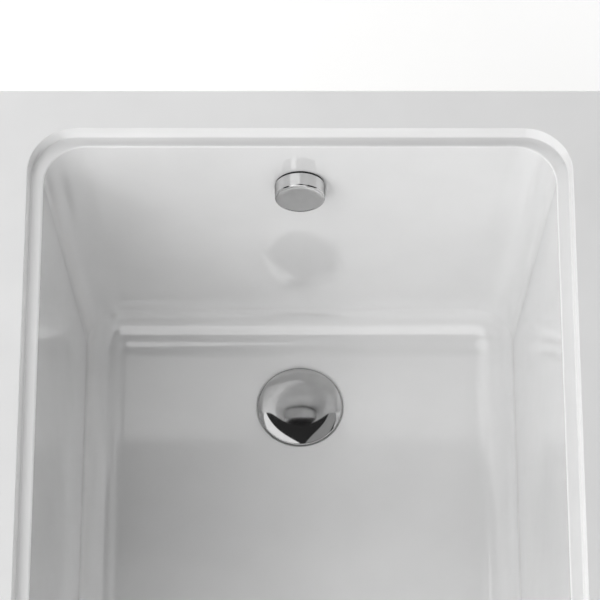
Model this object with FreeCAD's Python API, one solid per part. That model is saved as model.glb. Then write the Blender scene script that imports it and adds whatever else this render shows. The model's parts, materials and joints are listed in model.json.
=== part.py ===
import FreeCAD, Part
import math
import os

# Acrylic bathtub with its stand, waste set and turning overflow knob.
# Millimetres. The origin is on the floor under the middle of the tub: +X to the bather's right
# when facing the drain, +Y towards the drain end, +Z up.

# Tub outside
tub_length = 1700.0
tub_width = 750.0
basin_depth = 432.0
rim_lip_height = 40.0
rim_corner_radius = 8.0
rim_edge_radius = 3.0

# Sheet and skin
acrylic = 5.0
skin = 3.0
bond_gap = 0.3
cut_overrun = 10.0
least_edge = 0.01

# Deck and the step round the opening
deck_side_width = 50.5
deck_end_width = 52.5
opening_corner_radius = 57.0
step_height = 15.0
step_run = 4.0
ledge_side_width = 14.5
ledge_end_width = 13.1
step_root_radius = 2.0
step_edge_radius = 1.2
ledge_edge_radius = 2.5

# Basin walls and floor, with leans from upright in degrees
side_lean = 5.1
foot_lean = 6.2
head_lean = 28.0
floor_fall = 30.0
floor_edge_radius = 50.0
backrest_foot_radius = 150.0

# Waste hole in the floor
drain_from_foot_wall = 115.5
waste_hole_radius = 45.0
dish_radius = 51.0
dish_depth = 3.0

# Overflow hole in the foot wall
knob_drop = 97.0
overflow_hole_radius = 26.0

# Timber
base_board_thickness = 15.0
board_side_inset = 54.0
board_head_inset = 100.0
board_waste_gap = 36.0
bed_wall = 12.0
bed_cell_count = 3
batten_wall_gap = 1.0
batten_end_gap = 4.0

# Cradle rails
rail_end_margin = 25.0
rail_end_inset = 130.0
rail_width = 40.0
rail_depth = 25.0
rail_sheet = 2.0
rail_screw_x_shares = (-0.6, -0.2, 0.2, 0.6)
wood_screw_radius = 2.25
wood_screw_length = 14.0
wood_screw_head_radius = 4.8
wood_screw_head_height = 2.6
wood_screw_hole_radius = 2.6
pilot_clearance = 0.05
pilot_extra_depth = 0.6

# Adjustable feet
stud_wall_gap = 10.0
stud_radius = 6.0
stud_above_nut = 34.0
stud_chamfer = 1.0
stud_nut_clearance = 0.08
stud_rail_clearance = 0.5
nut_across_flats = 19.0
nut_height = 10.0
pad_radius = 27.0
pad_height = 8.0
pad_chamfer = 2.0
pad_boss_draft = 1.0
pad_boss_radius = 14.0
pad_boss_height = 22.0
pad_socket_floor = 10.0
pad_socket_clearance = 0.05

# Wall brackets under the left long side
bracket_end_inset = 350.0
bracket_half_width = 25.0
bracket_sheet = 3.0
bracket_leg_run = 37.0
bracket_leg_drop = 50.0
bracket_hole_half_spacing = 14.0
bracket_wall_hole_radius = 3.25
bracket_wall_hole_drop = 31.0
bracket_screw_run = 20.0

# Waste flange, seals and cup
flange_plate_radius = 49.0
flange_plate_thickness = 1.5
flange_neck_radius = 43.0
flange_bore_radius = 39.0
flange_thread_engagement = 12.0
thread_clearance = 0.1
upper_seal_thickness = 1.5
upper_seal_inner_radius = 44.0
lower_seal_thickness = 3.0
lower_seal_outer_radius = 53.5
lower_seal_inner_radius = 46.0
cup_flange_radius = 54.0
cup_flange_thickness = 4.0
cup_wall = 4.5
cup_depth = 43.0
cup_floor = 3.0

# Trap and unions: 40 mm pipe with a 3 mm wall
pipe_radius = 20.0
pipe_wall = 3.0
cup_spout_length = 18.0
union_seal_thickness = 2.0
union_nut_radius = 27.0
union_nut_length = 20.0
union_nut_clearance = 0.3
union_rib_count = 12
union_rib_depth = 1.4
union_rib_width = 3.0
trap_cup_gap = 2.4
trap_floor_gap = 12.0
trap_leg_length = 19.65
outlet_rise = 15.0
outlet_bend_radius = 25.0
outlet_run = 86.0

# Overflow port on the cup and the ribbed hose
hose_side_offset = 14.0
hose_port_radius = 18.0
hose_bore_radius = 14.0
hose_port_edge = 0.5
hose_nut_gap = 1.5
hose_root_radius = 16.0
hose_rib_pitch = 5.0
hose_rib_width_share = 0.5
hose_rib_flank_share = 0.15
hose_bend_radius = 52.0
hose_cuff_length = 40.0
hose_nut_radius = 23.0
hose_nut_length = 20.0
hose_seal_thickness = 2.0

# Plunger, its guide, seal and cover
seal_bore_gap = 0.3
plug_seal_section = 3.0
plug_seal_seat_radius = 35.5
valve_head_radius = 37.0
valve_head_thickness = 8.0
valve_head_drop = 9.5
valve_boss_radius = 9.0
valve_boss_height = 4.0
valve_stem_radius = 4.0
valve_stem_kept = 6.0
guide_clearance = 0.08
guide_hub_radius = 8.0
guide_hub_length = 22.0
guide_hub_gap = 2.0
guide_bore_floor = 1.5
guide_arm_width = 6.0
guide_arm_height = 6.0
guide_arm_count = 3
guide_tube_radius = 4.0
guide_bend_radius = 11.0
plunger_lift = 14.0
cover_radius = 53.9
cover_crown_edge = 30.0
cover_crown_radius = 1700.0
cover_roll_radius = 71.0
cover_sheet = 2.0
cover_rim_height = 2.6
cover_floor_gap = 1.8
cover_rim_radius = 0.8
cover_stem_radius = 5.0
cover_collar_radius = 9.0
cover_stem_length = 9.0
cover_socket_spare = 1.0
cover_rest_gap = 0.3
stem_clearance = 0.06

# Overflow flange, housing and gasket, along the axis of the knob
overflow_plate_radius = 29.8
overflow_plate_thickness = 2.0
overflow_neck_radius = 25.5
overflow_neck_wall = 3.0
overflow_neck_length = 24.0
overflow_window_radius = 5.0
overflow_fixing_radius = 16.0
overflow_window_angles = (0.0, 45.0, 135.0, 180.0, 225.0, 315.0)
overflow_fixing_angles = (90.0, 270.0)
bush_radius = 9.0
bush_front = 8.0
bush_back = 12.0
gasket_thickness = 3.0
gasket_outer_radius = 36.0
gasket_inner_radius = 26.5
housing_radius = 36.5
housing_bore_radius = 33.0
housing_length = 39.0
housing_mouth_length = 10.0
housing_back_wall = 3.0
housing_boss_radius = 4.5
overflow_screw_radius = 2.5
overflow_screw_head_radius = 4.5
overflow_screw_head_height = 2.5
overflow_screw_engagement = 14.0
housing_port_length = 25.0
housing_port_depth = 22.0

# Knob, spindle, crank
knob_radius = 30.5
knob_length = 18.6
knob_wall_gap = 3.5
knob_side_wall = 2.0
knob_front_wall = 3.0
knob_edge_radius = 4.5
knob_boss_radius = 8.5
knob_boss_length = 8.6
spindle_radius = 5.0
spindle_clearance = 0.05
spindle_tail = 4.0
grub_screw_radius = 2.0
grub_screw_length = 3.4
crank_bush_gap = 12.0
crank_thickness = 5.0
crank_hub_radius = 8.5
crank_arm_length = 16.0
crank_tip_radius = 4.0
crank_pin_hole_radius = 1.25
crank_rest_angle = 210.0

# Bowden cable
cable_radius = 2.5
cable_clearance = 0.1
cable_offset = 30.0
gland_radius = 6.5
gland_length = 14.0
gland_grip = 8.0
gland_boss_radius = 6.5
gland_boss_reach = 8.0
gland_neck_share = 0.67
lower_gland_angle = 120.0
cable_leg_length = 46.0
cable_arc_share = 0.45
clip_width = 7.0
clip_wall = 2.2
clip_clearance = 0.3
clip_run_shares = (0.25, 0.58)

vec = FreeCAD.Vector
up = vec(0, 0, 1)
origin = vec(0, 0, 0)

# Sizes that follow from the ones above: the trap's stack sets how high the tub stands
half_length = tub_length / 2
half_width = tub_width / 2
opening_x = half_width - deck_side_width
opening_y = half_length - deck_end_width
wall_top_x = opening_x - step_run - ledge_side_width
wall_top_y = opening_y - step_run - ledge_end_width
side_slope = math.tan(math.radians(side_lean))
foot_slope = math.tan(math.radians(foot_lean))
head_slope = math.tan(math.radians(head_lean))
wall_height = basin_depth - step_height
foot_floor_y = wall_top_y - wall_height * foot_slope
head_floor_y = -wall_top_y + (wall_height - floor_fall) * head_slope
drain_y = foot_floor_y - drain_from_foot_wall
cup_outside = flange_neck_radius + thread_clearance + cup_wall
trap_bend_radius = (cup_outside + trap_cup_gap + pipe_radius) / 2
trap_bend_z = trap_floor_gap + pipe_radius
trap_leg_bottom = trap_bend_z + trap_bend_radius
spout_end = trap_leg_bottom + trap_leg_length + union_seal_thickness
cup_bottom = spout_end + cup_spout_length
cup_top = cup_bottom + cup_depth
dish_under = cup_top + lower_seal_thickness
dish_z = dish_under + acrylic
drain_floor_z = dish_z + dish_depth
floor_z = drain_floor_z - floor_fall * drain_from_foot_wall / (foot_floor_y - head_floor_y)
rim_height = floor_z + basin_depth
ledge_z = rim_height - step_height
lip_bottom = rim_height - rim_lip_height
deck_under = rim_height - acrylic
skin_inner = acrylic + bond_gap
skin_outer = skin_inner + skin
bed_z = floor_z - skin_outer
board_top = bed_z - bond_gap
board_bottom = board_top - base_board_thickness
board_half_width = wall_top_x - wall_height * side_slope - board_side_inset
board_head_y = head_floor_y + board_head_inset
board_foot_y = drain_y - cup_flange_radius - board_waste_gap
rail_top = board_bottom - bond_gap
rail_web_under = rail_top - rail_sheet
rail_bottom = rail_top - rail_depth
rail_head_y = board_head_y + rail_end_inset
rail_foot_y = board_foot_y - rail_end_inset
stud_top = rail_top + nut_height + stud_above_nut
stud_wall_x = wall_top_x - (ledge_z - stud_top) * side_slope + skin_outer
foot_x = stud_wall_x + stud_wall_gap + stud_radius
rail_half_length = foot_x + rail_end_margin
bracket_y = half_length - bracket_end_inset
pipe_bore = pipe_radius - pipe_wall
cable_bore = cable_radius + cable_clearance
spindle_bore = spindle_radius + spindle_clearance
wood_screw_pilot = wood_screw_radius + pilot_clearance
overflow_screw_pilot = overflow_screw_radius + pilot_clearance
grub_screw_pilot = grub_screw_radius + pilot_clearance
hose_port_reach = cup_flange_radius + hose_nut_gap + hose_nut_length / 2 - hose_seal_thickness / 2
crank_front = bush_back + crank_bush_gap
spindle_back = crank_front + crank_thickness + spindle_tail
knob_z = rim_height - knob_drop
knob_y = wall_top_y - (ledge_z - knob_z) * foot_slope


# Plain shapes

def box(x0, x1, y0, y1, z0, z1):
    return Part.makeBox(x1 - x0, y1 - y0, z1 - z0, vec(x0, y0, z0))


def rod(radius, z0, z1, x=0, y=0):
    return Part.makeCylinder(radius, z1 - z0, vec(x, y, z0), up)


def ring(outer, inner, z0, z1):
    return rod(outer, z0, z1).cut(rod(inner, z0 - cut_overrun, z1 + cut_overrun))


def turned(points):
    """A solid of revolution about Z from an outline of (radius, z) points."""
    outline = Part.makePolygon([vec(r, 0, z) for r, z in points + points[:1]])
    return Part.Face(outline).revolve(origin, up, 360)


def hexagon(across_flats, z0, z1, x=0, y=0):
    radius = across_flats / math.sqrt(3)
    corners = []
    for step in range(7):
        turn = math.radians(60 * step)
        corners.append(vec(x + radius * math.cos(turn), y + radius * math.sin(turn), z0))
    return Part.Face(Part.makePolygon(corners)).extrude(vec(0, 0, z1 - z0))


def aim(shape, start, direction):
    """Set a shape that was drawn along Z at a start point, along a direction."""
    placed = shape.copy()
    placed.Placement = FreeCAD.Placement(start, FreeCAD.Rotation(up, direction)).multiply(placed.Placement)
    return placed


def at_drain(shape):
    return shape.translated(vec(0, drain_y, 0))


def on_foot_wall(shape):
    """From the knob's own frame (Z into the basin, Y up the wall) to the foot wall."""
    placed = shape.copy()
    turn = FreeCAD.Rotation(vec(1, 0, 0), 90 - foot_lean)
    placed.Placement = FreeCAD.Placement(vec(0, knob_y, knob_z), turn).multiply(placed.Placement)
    return placed


def foot_wall_point(x, y, z):
    turn = FreeCAD.Rotation(vec(1, 0, 0), 90 - foot_lean)
    return vec(0, knob_y, knob_z) + turn.multVec(vec(x, y, z))


def edges_with(shape, test):
    """The edges whose end points and middle all pass the test."""
    found = []
    for edge in shape.Edges:
        middle = edge.valueAt((edge.FirstParameter + edge.LastParameter) / 2)
        points = [vertex.Point for vertex in edge.Vertexes] + [middle]
        if all(test(point) for point in points):
            found.append(edge)
    return found


def group(shapes):
    return Part.makeCompound(shapes)


# Basin and opening

def prism(points, axis, reach):
    """Extrude an outline of points both ways along an axis."""
    face = Part.Face(Part.makePolygon([point - axis * reach for point in points + points[:1]]))
    return face.extrude(axis * (2 * reach))


def moved_out(slope, offset):
    """How far level a leaning wall moves when it moves square to itself."""
    return offset * math.sqrt(1 + slope * slope)


def cross_edges(shape, test):
    """The edges that run straight across the tub, along X."""
    found = []
    for edge in edges_with(shape, test):
        start, end = edge.Vertexes[0].Point, edge.Vertexes[-1].Point
        if abs(start.y - end.y) < bond_gap and abs(start.z - end.z) < bond_gap:
            found.append(edge)
    return found


def basin_body(offset):
    """The basin's inside, grown outwards by an offset. Its top stands a little above the ledge."""
    top = ledge_z + cut_overrun
    rise = top - ledge_z
    low = floor_z - offset
    foot_out = moved_out(foot_slope, offset)
    head_out = moved_out(head_slope, offset)
    side_out = moved_out(side_slope, offset)
    head_low = low + floor_fall
    side_view = [
        vec(0, wall_top_y + rise * foot_slope + foot_out, top),
        vec(0, foot_floor_y - offset * foot_slope + foot_out, low),
        vec(0, head_floor_y + offset * head_slope - head_out, head_low),
        vec(0, -wall_top_y - rise * head_slope - head_out, top),
    ]
    under = low - cut_overrun
    under_x = wall_top_x - (ledge_z - under) * side_slope + side_out
    top_x = wall_top_x + rise * side_slope + side_out
    end_view = [vec(-top_x, 0, top), vec(-under_x, 0, under), vec(under_x, 0, under), vec(top_x, 0, top)]
    body = prism(side_view, vec(1, 0, 0), half_width).common(prism(end_view, vec(0, 1, 0), half_length))
    half = body.common(box(0, half_width, -half_length, half_length, 0, rim_height))
    backrest_foot = cross_edges(half, lambda p: p.y < 0 and p.z < head_low + bond_gap)
    half = half.makeFillet(backrest_foot_radius + offset, backrest_foot)
    bends = []
    for edge in half.Edges:
        middle = edge.valueAt((edge.FirstParameter + edge.LastParameter) / 2)
        on_middle_plane = middle.x < bond_gap
        at_top = middle.z > top - bond_gap
        if not on_middle_plane and not at_top:
            bends.append(edge)
    for edge in cross_edges(half, lambda p: p.y < 0):
        bends = [other for other in bends if not other.isSame(edge)]
    half = half.makeFillet(floor_edge_radius + offset, bends)
    return half.fuse(half.mirror(origin, vec(1, 0, 0)))


def opening_body(offset):
    """The space inside the step, grown outwards by an offset, from the ledge to above the deck."""
    top = rim_height + cut_overrun
    low = ledge_z - offset
    slope = step_run / step_height
    lean = moved_out(slope, offset)
    views = []
    for half in (opening_x, opening_y):
        top_half = half + (top - rim_height) * slope + lean
        low_half = half - (rim_height - low) * slope + lean
        views.append((top_half, low_half))
    (top_x, low_x), (top_y, low_y) = views
    end_view = [vec(-top_x, 0, top), vec(-low_x, 0, low), vec(low_x, 0, low), vec(top_x, 0, top)]
    side_view = [vec(0, -top_y, top), vec(0, -low_y, low), vec(0, low_y, low), vec(0, top_y, top)]
    body = prism(side_view, vec(1, 0, 0), half_width + cut_overrun)
    body = body.common(prism(end_view, vec(0, 1, 0), half_length + cut_overrun))
    uprights = []
    for edge in body.Edges:
        heights = [vertex.Point.z for vertex in edge.Vertexes]
        if max(heights) - min(heights) > step_height / 2:
            uprights.append(edge)
    body = body.makeFillet(opening_corner_radius + offset, uprights)
    root = edges_with(body, lambda p: p.z < low + bond_gap)
    return body.makeFillet(step_root_radius + offset, root)


def tub_hollow(offset):
    """The outside of a sheet that lines the opening and the basin at an offset."""
    under_deck = box(-half_width, half_width, -half_length, half_length, 0, deck_under)
    return opening_body(offset).fuse(basin_body(offset)).common(under_deck)


def waste_hole(radius):
    return at_drain(rod(radius, bed_z - cut_overrun, drain_floor_z + cut_overrun))


def overflow_hole(radius):
    return on_foot_wall(rod(radius, -skin_outer - cut_overrun, cut_overrun))


def rounded_corners(block, half_x, half_y, radius):
    uprights = edges_with(block, lambda p: abs(p.x) + abs(p.y) > half_x + half_y - bond_gap)
    return block.makeFillet(radius, uprights)


def tub_shell():
    rim = box(-half_width, half_width, -half_length, half_length, lip_bottom, rim_height)
    rim = rounded_corners(rim, half_width, half_length, rim_corner_radius)
    rim = rim.makeFillet(rim_edge_radius, edges_with(rim, lambda p: p.z > rim_height - bond_gap))
    inside_x = half_width - acrylic
    inside_y = half_length - acrylic
    hollow = box(-inside_x, inside_x, -inside_y, inside_y, lip_bottom - cut_overrun, deck_under)
    hollow = rounded_corners(hollow, inside_x, inside_y, rim_corner_radius - acrylic)
    dish = at_drain(rod(dish_radius + acrylic, dish_under, drain_floor_z))
    shell = rim.cut(hollow).fuse([tub_hollow(acrylic), dish])
    shell = shell.cut(opening_body(0)).cut(basin_body(0))
    reach = step_edge_radius
    deck_edge = edges_with(shell, lambda p: abs(p.z - rim_height) < bond_gap
                           and abs(p.x) < opening_x + reach and abs(p.y) < opening_y + reach)
    shell = shell.makeFillet(step_edge_radius, deck_edge)
    ledge_edge = edges_with(shell, lambda p: abs(p.z - ledge_z) < bond_gap
                            and abs(p.x) < wall_top_x + reach and abs(p.y) < wall_top_y + reach)
    shell = shell.makeFillet(ledge_edge_radius, ledge_edge)
    dish_hollow = at_drain(rod(dish_radius, dish_z, drain_floor_z + cut_overrun))
    holes = [dish_hollow, waste_hole(waste_hole_radius), overflow_hole(overflow_hole_radius)]
    return shell.cut(holes)


def board_bed():
    """The walls and cross ribs that carry the level base board under the sloping floor."""
    top = floor_z + floor_fall
    bed = box(-board_half_width, board_half_width, board_head_y, board_foot_y, bed_z, top)
    cell_x = board_half_width - bed_wall
    pitch = (board_foot_y - board_head_y - bed_wall) / bed_cell_count
    for cell in range(bed_cell_count):
        start = board_head_y + bed_wall + cell * pitch
        end = start + pitch - bed_wall
        bed = bed.cut(box(-cell_x, cell_x, start, end, bed_z - cut_overrun, top + cut_overrun))
    return bed


def glass_fibre_backing():
    skin_body = tub_hollow(skin_outer).fuse(board_bed())
    trim = box(-half_width, half_width, -half_length, half_length, deck_under - bond_gap, rim_height)
    skin_body = skin_body.cut(tub_hollow(skin_inner)).cut(trim)
    dish_gap = waste_hole(dish_radius + skin_inner)
    return skin_body.cut(dish_gap).cut(overflow_hole(overflow_hole_radius))


# Timber and cradle

def base_board():
    board = box(-board_half_width, board_half_width, board_head_y, board_foot_y,
                board_bottom, board_top)
    for x, y in rail_screw_places():
        board = board.cut(rod(wood_screw_pilot, board_bottom - cut_overrun,
                              rail_web_under + wood_screw_length + pilot_extra_depth, x, y))
    return board


def batten_side_inner():
    return opening_x + skin_outer + batten_wall_gap


def batten_side(side):
    inner = batten_side_inner()
    outer = half_width - acrylic - batten_wall_gap
    reach = half_length - acrylic - batten_end_gap
    batten = box(inner, outer, -reach, reach, lip_bottom, deck_under - bond_gap)
    if side < 0:
        batten = batten.mirror(origin, vec(1, 0, 0))
        pilot_top = bracket_top() - bracket_sheet + wood_screw_length + pilot_extra_depth
        for x, y in bracket_screw_places():
            batten = batten.cut(rod(wood_screw_pilot, lip_bottom - cut_overrun, pilot_top, x, y))
    return batten


def batten_end(end):
    inner = opening_y + skin_outer + batten_wall_gap
    outer = half_length - acrylic - batten_wall_gap
    reach = batten_side_inner() - batten_wall_gap
    batten = box(-reach, reach, inner, outer, lip_bottom, deck_under - bond_gap)
    if end < 0:
        batten = batten.mirror(origin, vec(0, 1, 0))
    return batten


def rail_screw_places():
    places = []
    for y in (rail_head_y, rail_foot_y):
        for share in rail_screw_x_shares:
            places.append((share * board_half_width, y))
    return places


def wood_screw(x, y, seat_z):
    """A pan head screw driven upwards: its head hangs under the seat."""
    head = rod(wood_screw_head_radius, seat_z - wood_screw_head_height, seat_z, x, y)
    round_off = wood_screw_head_height / 2
    head = head.makeFillet(round_off, edges_with(head, lambda p: p.z < seat_z - round_off))
    shank = rod(wood_screw_radius, seat_z, seat_z + wood_screw_length, x, y)
    return head.fuse(shank).removeSplitter()


def cradle_rail(y):
    half = rail_width / 2
    outside = box(-rail_half_length, rail_half_length, y - half, y + half, rail_bottom, rail_top)
    folds = edges_with(outside, lambda p: p.z > rail_top - bond_gap and abs(p.y - y) > half - bond_gap)
    outside = outside.makeFillet(rail_sheet, folds)
    inside = box(-rail_half_length - cut_overrun, rail_half_length + cut_overrun,
                 y - half + rail_sheet, y + half - rail_sheet, rail_bottom - cut_overrun, rail_web_under)
    rail = outside.cut(inside)
    holes = [(x, stud_radius + stud_rail_clearance) for x in (-foot_x, foot_x)]
    for x, screw_y in rail_screw_places():
        if screw_y == y:
            holes.append((x, wood_screw_hole_radius))
    for x, radius in holes:
        rail = rail.cut(rod(radius, rail_web_under - cut_overrun, rail_top + cut_overrun, x, y))
    return rail


def foot_places():
    return [("head_left", -foot_x, rail_head_y), ("head_right", foot_x, rail_head_y),
            ("foot_left", -foot_x, rail_foot_y), ("foot_right", foot_x, rail_foot_y)]


def nut(x, y, z0):
    blank = hexagon(nut_across_flats, z0, z0 + nut_height, x, y)
    bore = rod(stud_radius + stud_nut_clearance, z0 - cut_overrun, z0 + nut_height + cut_overrun, x, y)
    return blank.cut(bore)


def foot_stud(x, y):
    stud = rod(stud_radius, pad_socket_floor, stud_top, x, y)
    ends = edges_with(stud, lambda p: p.z > stud_top - bond_gap)
    return stud.makeChamfer(stud_chamfer, ends)


def foot_pad(x, y):
    outline = [
        (0, 0),
        (pad_radius - pad_chamfer, 0),
        (pad_radius, pad_chamfer),
        (pad_radius, pad_height - pad_chamfer),
        (pad_radius - pad_chamfer, pad_height),
        (pad_boss_radius, pad_height),
        (pad_boss_radius - pad_boss_draft, pad_boss_height),
        (0, pad_boss_height),
    ]
    pad = turned(outline)
    pad = pad.cut(rod(stud_radius + pad_socket_clearance, pad_socket_floor, pad_boss_height + cut_overrun))
    return pad.translated(vec(x, y, 0))


# Wall brackets

def bracket_screw_places():
    places = []
    for y in (-bracket_y, bracket_y):
        for side in (-1, 1):
            places.append((-half_width + bracket_screw_run, y + side * bracket_hole_half_spacing))
    return places


def bracket_screws():
    return group([wood_screw(x, y, bracket_top() - bracket_sheet) for x, y in bracket_screw_places()])


def bracket_top():
    return lip_bottom - bond_gap


def wall_bracket(y):
    top = bracket_top()
    outer = -half_width
    y0 = y - bracket_half_width
    y1 = y + bracket_half_width
    flat = box(outer, outer + bracket_leg_run, y0, y1, top - bracket_sheet, top)
    leg = box(outer, outer + bracket_sheet, y0, y1, top - bracket_leg_drop, top)
    bracket = flat.fuse(leg).removeSplitter()
    bend = edges_with(bracket, lambda p: abs(p.x - outer) < bond_gap and abs(p.z - top) < bond_gap)
    bracket = bracket.makeFillet(bracket_sheet, bend)
    low = top - bracket_sheet - cut_overrun
    for x, hole_y in bracket_screw_places():
        if abs(hole_y - y) < bracket_half_width:
            bracket = bracket.cut(rod(wood_screw_hole_radius, low, top + cut_overrun, x, hole_y))
    for side in (-1, 1):
        hole_y = y + side * bracket_hole_half_spacing
        start = vec(outer - cut_overrun, hole_y, top - bracket_wall_hole_drop)
        reach = bracket_sheet + 2 * cut_overrun
        bracket = bracket.cut(Part.makeCylinder(bracket_wall_hole_radius, reach, start, vec(1, 0, 0)))
    return bracket


# Pipes

def round_wire(centre, direction, radius):
    """A circle on a steady X axis, so that rings loft into each other without a twist."""
    circle = Part.Circle(centre, direction, radius)
    circle.XAxis = vec(1, 0, 0)
    return Part.Wire(circle.toShape())


def path_wire(points, radii):
    """Straight runs through the points, with a tangent arc of the given radius at each inner one."""
    edges = []
    start = points[0]
    for index, radius in enumerate(radii):
        corner = points[index + 1]
        back = (points[index] - corner).normalize()
        ahead = (points[index + 2] - corner).normalize()
        half_turn = (math.pi - back.getAngle(ahead)) / 2
        reach = radius * math.tan(half_turn)
        enter = corner + back * reach
        leave = corner + ahead * reach
        inward = (back + ahead).normalize()
        middle = corner + inward * (radius / math.cos(half_turn) - radius)
        if (enter - start).Length > least_edge:
            edges.append(Part.LineSegment(start, enter).toShape())
        edges.append(Part.Arc(enter, middle, leave).toShape())
        start = leave
    edges.append(Part.LineSegment(start, points[-1]).toShape())
    return Part.Wire(edges)


def piped(wire, radius):
    """A solid round bar along a wire."""
    first = wire.Edges[0]
    start = first.valueAt(first.FirstParameter)
    direction = first.tangentAt(first.FirstParameter)
    section = Part.Wire(Part.Circle(start, direction, radius).toShape())
    return wire.makePipeShell([section], True, False)


def union_nut(radius, inner, length):
    """A ribbed coupling nut along Z from zero."""
    body = rod(radius - union_rib_depth, 0, length)
    for step in range(union_rib_count):
        rib = box(radius - union_rib_depth * 2, radius, -union_rib_width / 2, union_rib_width / 2, 0, length)
        rib.rotate(origin, up, 360 * step / union_rib_count)
        body = body.fuse(rib)
    return body.removeSplitter().cut(rod(inner, -cut_overrun, length + cut_overrun))


# Waste set, on a vertical axis through the drain

def waste_flange():
    seat = dish_z + upper_seal_thickness
    low = dish_under - lower_seal_thickness - flange_thread_engagement
    plate = ring(flange_plate_radius, flange_bore_radius, seat, seat + flange_plate_thickness)
    neck = ring(flange_neck_radius, flange_bore_radius, low, seat)
    return at_drain(plate.fuse(neck).removeSplitter())


def waste_seal_upper():
    return at_drain(ring(flange_plate_radius, upper_seal_inner_radius, dish_z, dish_z + upper_seal_thickness))


def waste_seal_lower():
    return at_drain(ring(lower_seal_outer_radius, lower_seal_inner_radius, cup_top, dish_under))


def hose_port_height():
    return cup_bottom + hose_port_radius + hose_port_edge


def gland_direction():
    turn = math.radians(lower_gland_angle)
    return vec(math.cos(turn), math.sin(turn), 0)


def gland_height():
    return guide_hub_bottom() - guide_bend_radius


def waste_body():
    bore = flange_neck_radius + thread_clearance
    rim = rod(cup_flange_radius, cup_top - cup_flange_thickness, cup_top)
    cup = rod(cup_outside, cup_bottom, cup_top)
    spout = rod(pipe_radius, spout_end, cup_bottom)
    port_start = vec(hose_side_offset, 0, hose_port_height())
    port = Part.makeCylinder(hose_port_radius, hose_port_reach, port_start, vec(0, 1, 0))
    boss_start = vec(0, 0, gland_height())
    boss = aim(rod(gland_boss_radius, 0, cup_outside + gland_boss_reach), boss_start, gland_direction())
    body = rim.fuse([cup, spout, port, boss])
    body = body.cut(rod(bore, cup_bottom + cup_floor, cup_top + cut_overrun))
    body = body.cut(rod(pipe_bore, spout_end - cut_overrun, cup_top))
    port_bore = Part.makeCylinder(hose_bore_radius, hose_port_reach + cut_overrun, port_start, vec(0, 1, 0))
    boss_bore = rod(cable_bore, 0, cup_outside + gland_boss_reach + cut_overrun)
    boss_bore = aim(boss_bore, boss_start, gland_direction())
    return at_drain(body.cut(port_bore).cut(boss_bore))


def valve_head_bottom():
    return drain_floor_z - valve_head_drop


def guide_hub_top():
    return valve_head_bottom() - guide_hub_gap


def guide_hub_bottom():
    return guide_hub_top() - guide_hub_length


def cable_guide():
    """A spider in the cup: its hub guides the plunger, and its bent tube brings the cable in below."""
    bore = flange_neck_radius
    low = guide_hub_bottom()
    hub = rod(guide_hub_radius, low, guide_hub_top())
    parts = []
    for step in range(guide_arm_count):
        arm = box(0, bore, -guide_arm_width / 2, guide_arm_width / 2, low, low + guide_arm_height)
        arm.rotate(origin, up, lower_gland_angle + 180 + 360 * step / guide_arm_count)
        parts.append(arm)
    corner = vec(0, 0, gland_height())
    wall = corner + gland_direction() * bore
    points = [vec(0, 0, low + guide_arm_height), corner, wall]
    tube = piped(path_wire(points, [guide_bend_radius]), guide_tube_radius)
    guide = hub.fuse(parts + [tube]).common(rod(bore, cup_bottom, cup_top))
    bore_top = guide_hub_top() + cut_overrun
    stem_bore = rod(valve_stem_radius + guide_clearance, low + guide_bore_floor, bore_top)
    return at_drain(guide.cut(stem_bore))


def lift_plunger():
    low = valve_head_bottom()
    top = low + valve_head_thickness
    groove = low + valve_head_thickness / 2 - plug_seal_section / 2
    head = rod(valve_head_radius, low, top).cut(
        ring(valve_head_radius + cut_overrun, plug_seal_seat_radius, groove, groove + plug_seal_section))
    boss = rod(valve_boss_radius, top, top + valve_boss_height)
    stem = rod(valve_stem_radius, low - guide_hub_gap - plunger_lift - valve_stem_kept, low)
    plunger = head.fuse([boss, stem]).removeSplitter()
    socket_top = top + valve_boss_height
    socket_bottom = socket_top - cover_stem_length - cover_socket_spare
    socket = rod(cover_stem_radius + stem_clearance, socket_bottom, socket_top + cut_overrun)
    return at_drain(plunger.cut(socket))


def plug_seal():
    low = valve_head_bottom() + valve_head_thickness / 2 - plug_seal_section / 2
    outer = flange_bore_radius - seal_bore_gap
    return at_drain(ring(outer, plug_seal_seat_radius, low, low + plug_seal_section))


def cover_point(tilt, inset):
    """A point of the cover's outline, (radius, height below the crown), where the surface tilts so."""
    crown_tilt = math.asin(cover_crown_edge / cover_crown_radius)
    if tilt <= crown_tilt:
        centre_x, centre_z, bend = 0, -cover_crown_radius, cover_crown_radius
    else:
        centre_x = cover_crown_edge - cover_roll_radius * math.sin(crown_tilt)
        centre_z = (cover_crown_radius - cover_roll_radius) * math.cos(crown_tilt) - cover_crown_radius
        bend = cover_roll_radius
    return vec(centre_x + (bend - inset) * math.sin(tilt), 0, centre_z + (bend - inset) * math.cos(tilt))


def cover_arc(start_tilt, end_tilt, inset, apex):
    nearly = 1 + 1e-9
    tilts = (start_tilt * nearly, (start_tilt + end_tilt) / 2, end_tilt)
    return Part.Arc(*[cover_point(tilt, inset) + apex for tilt in tilts]).toShape()


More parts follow.
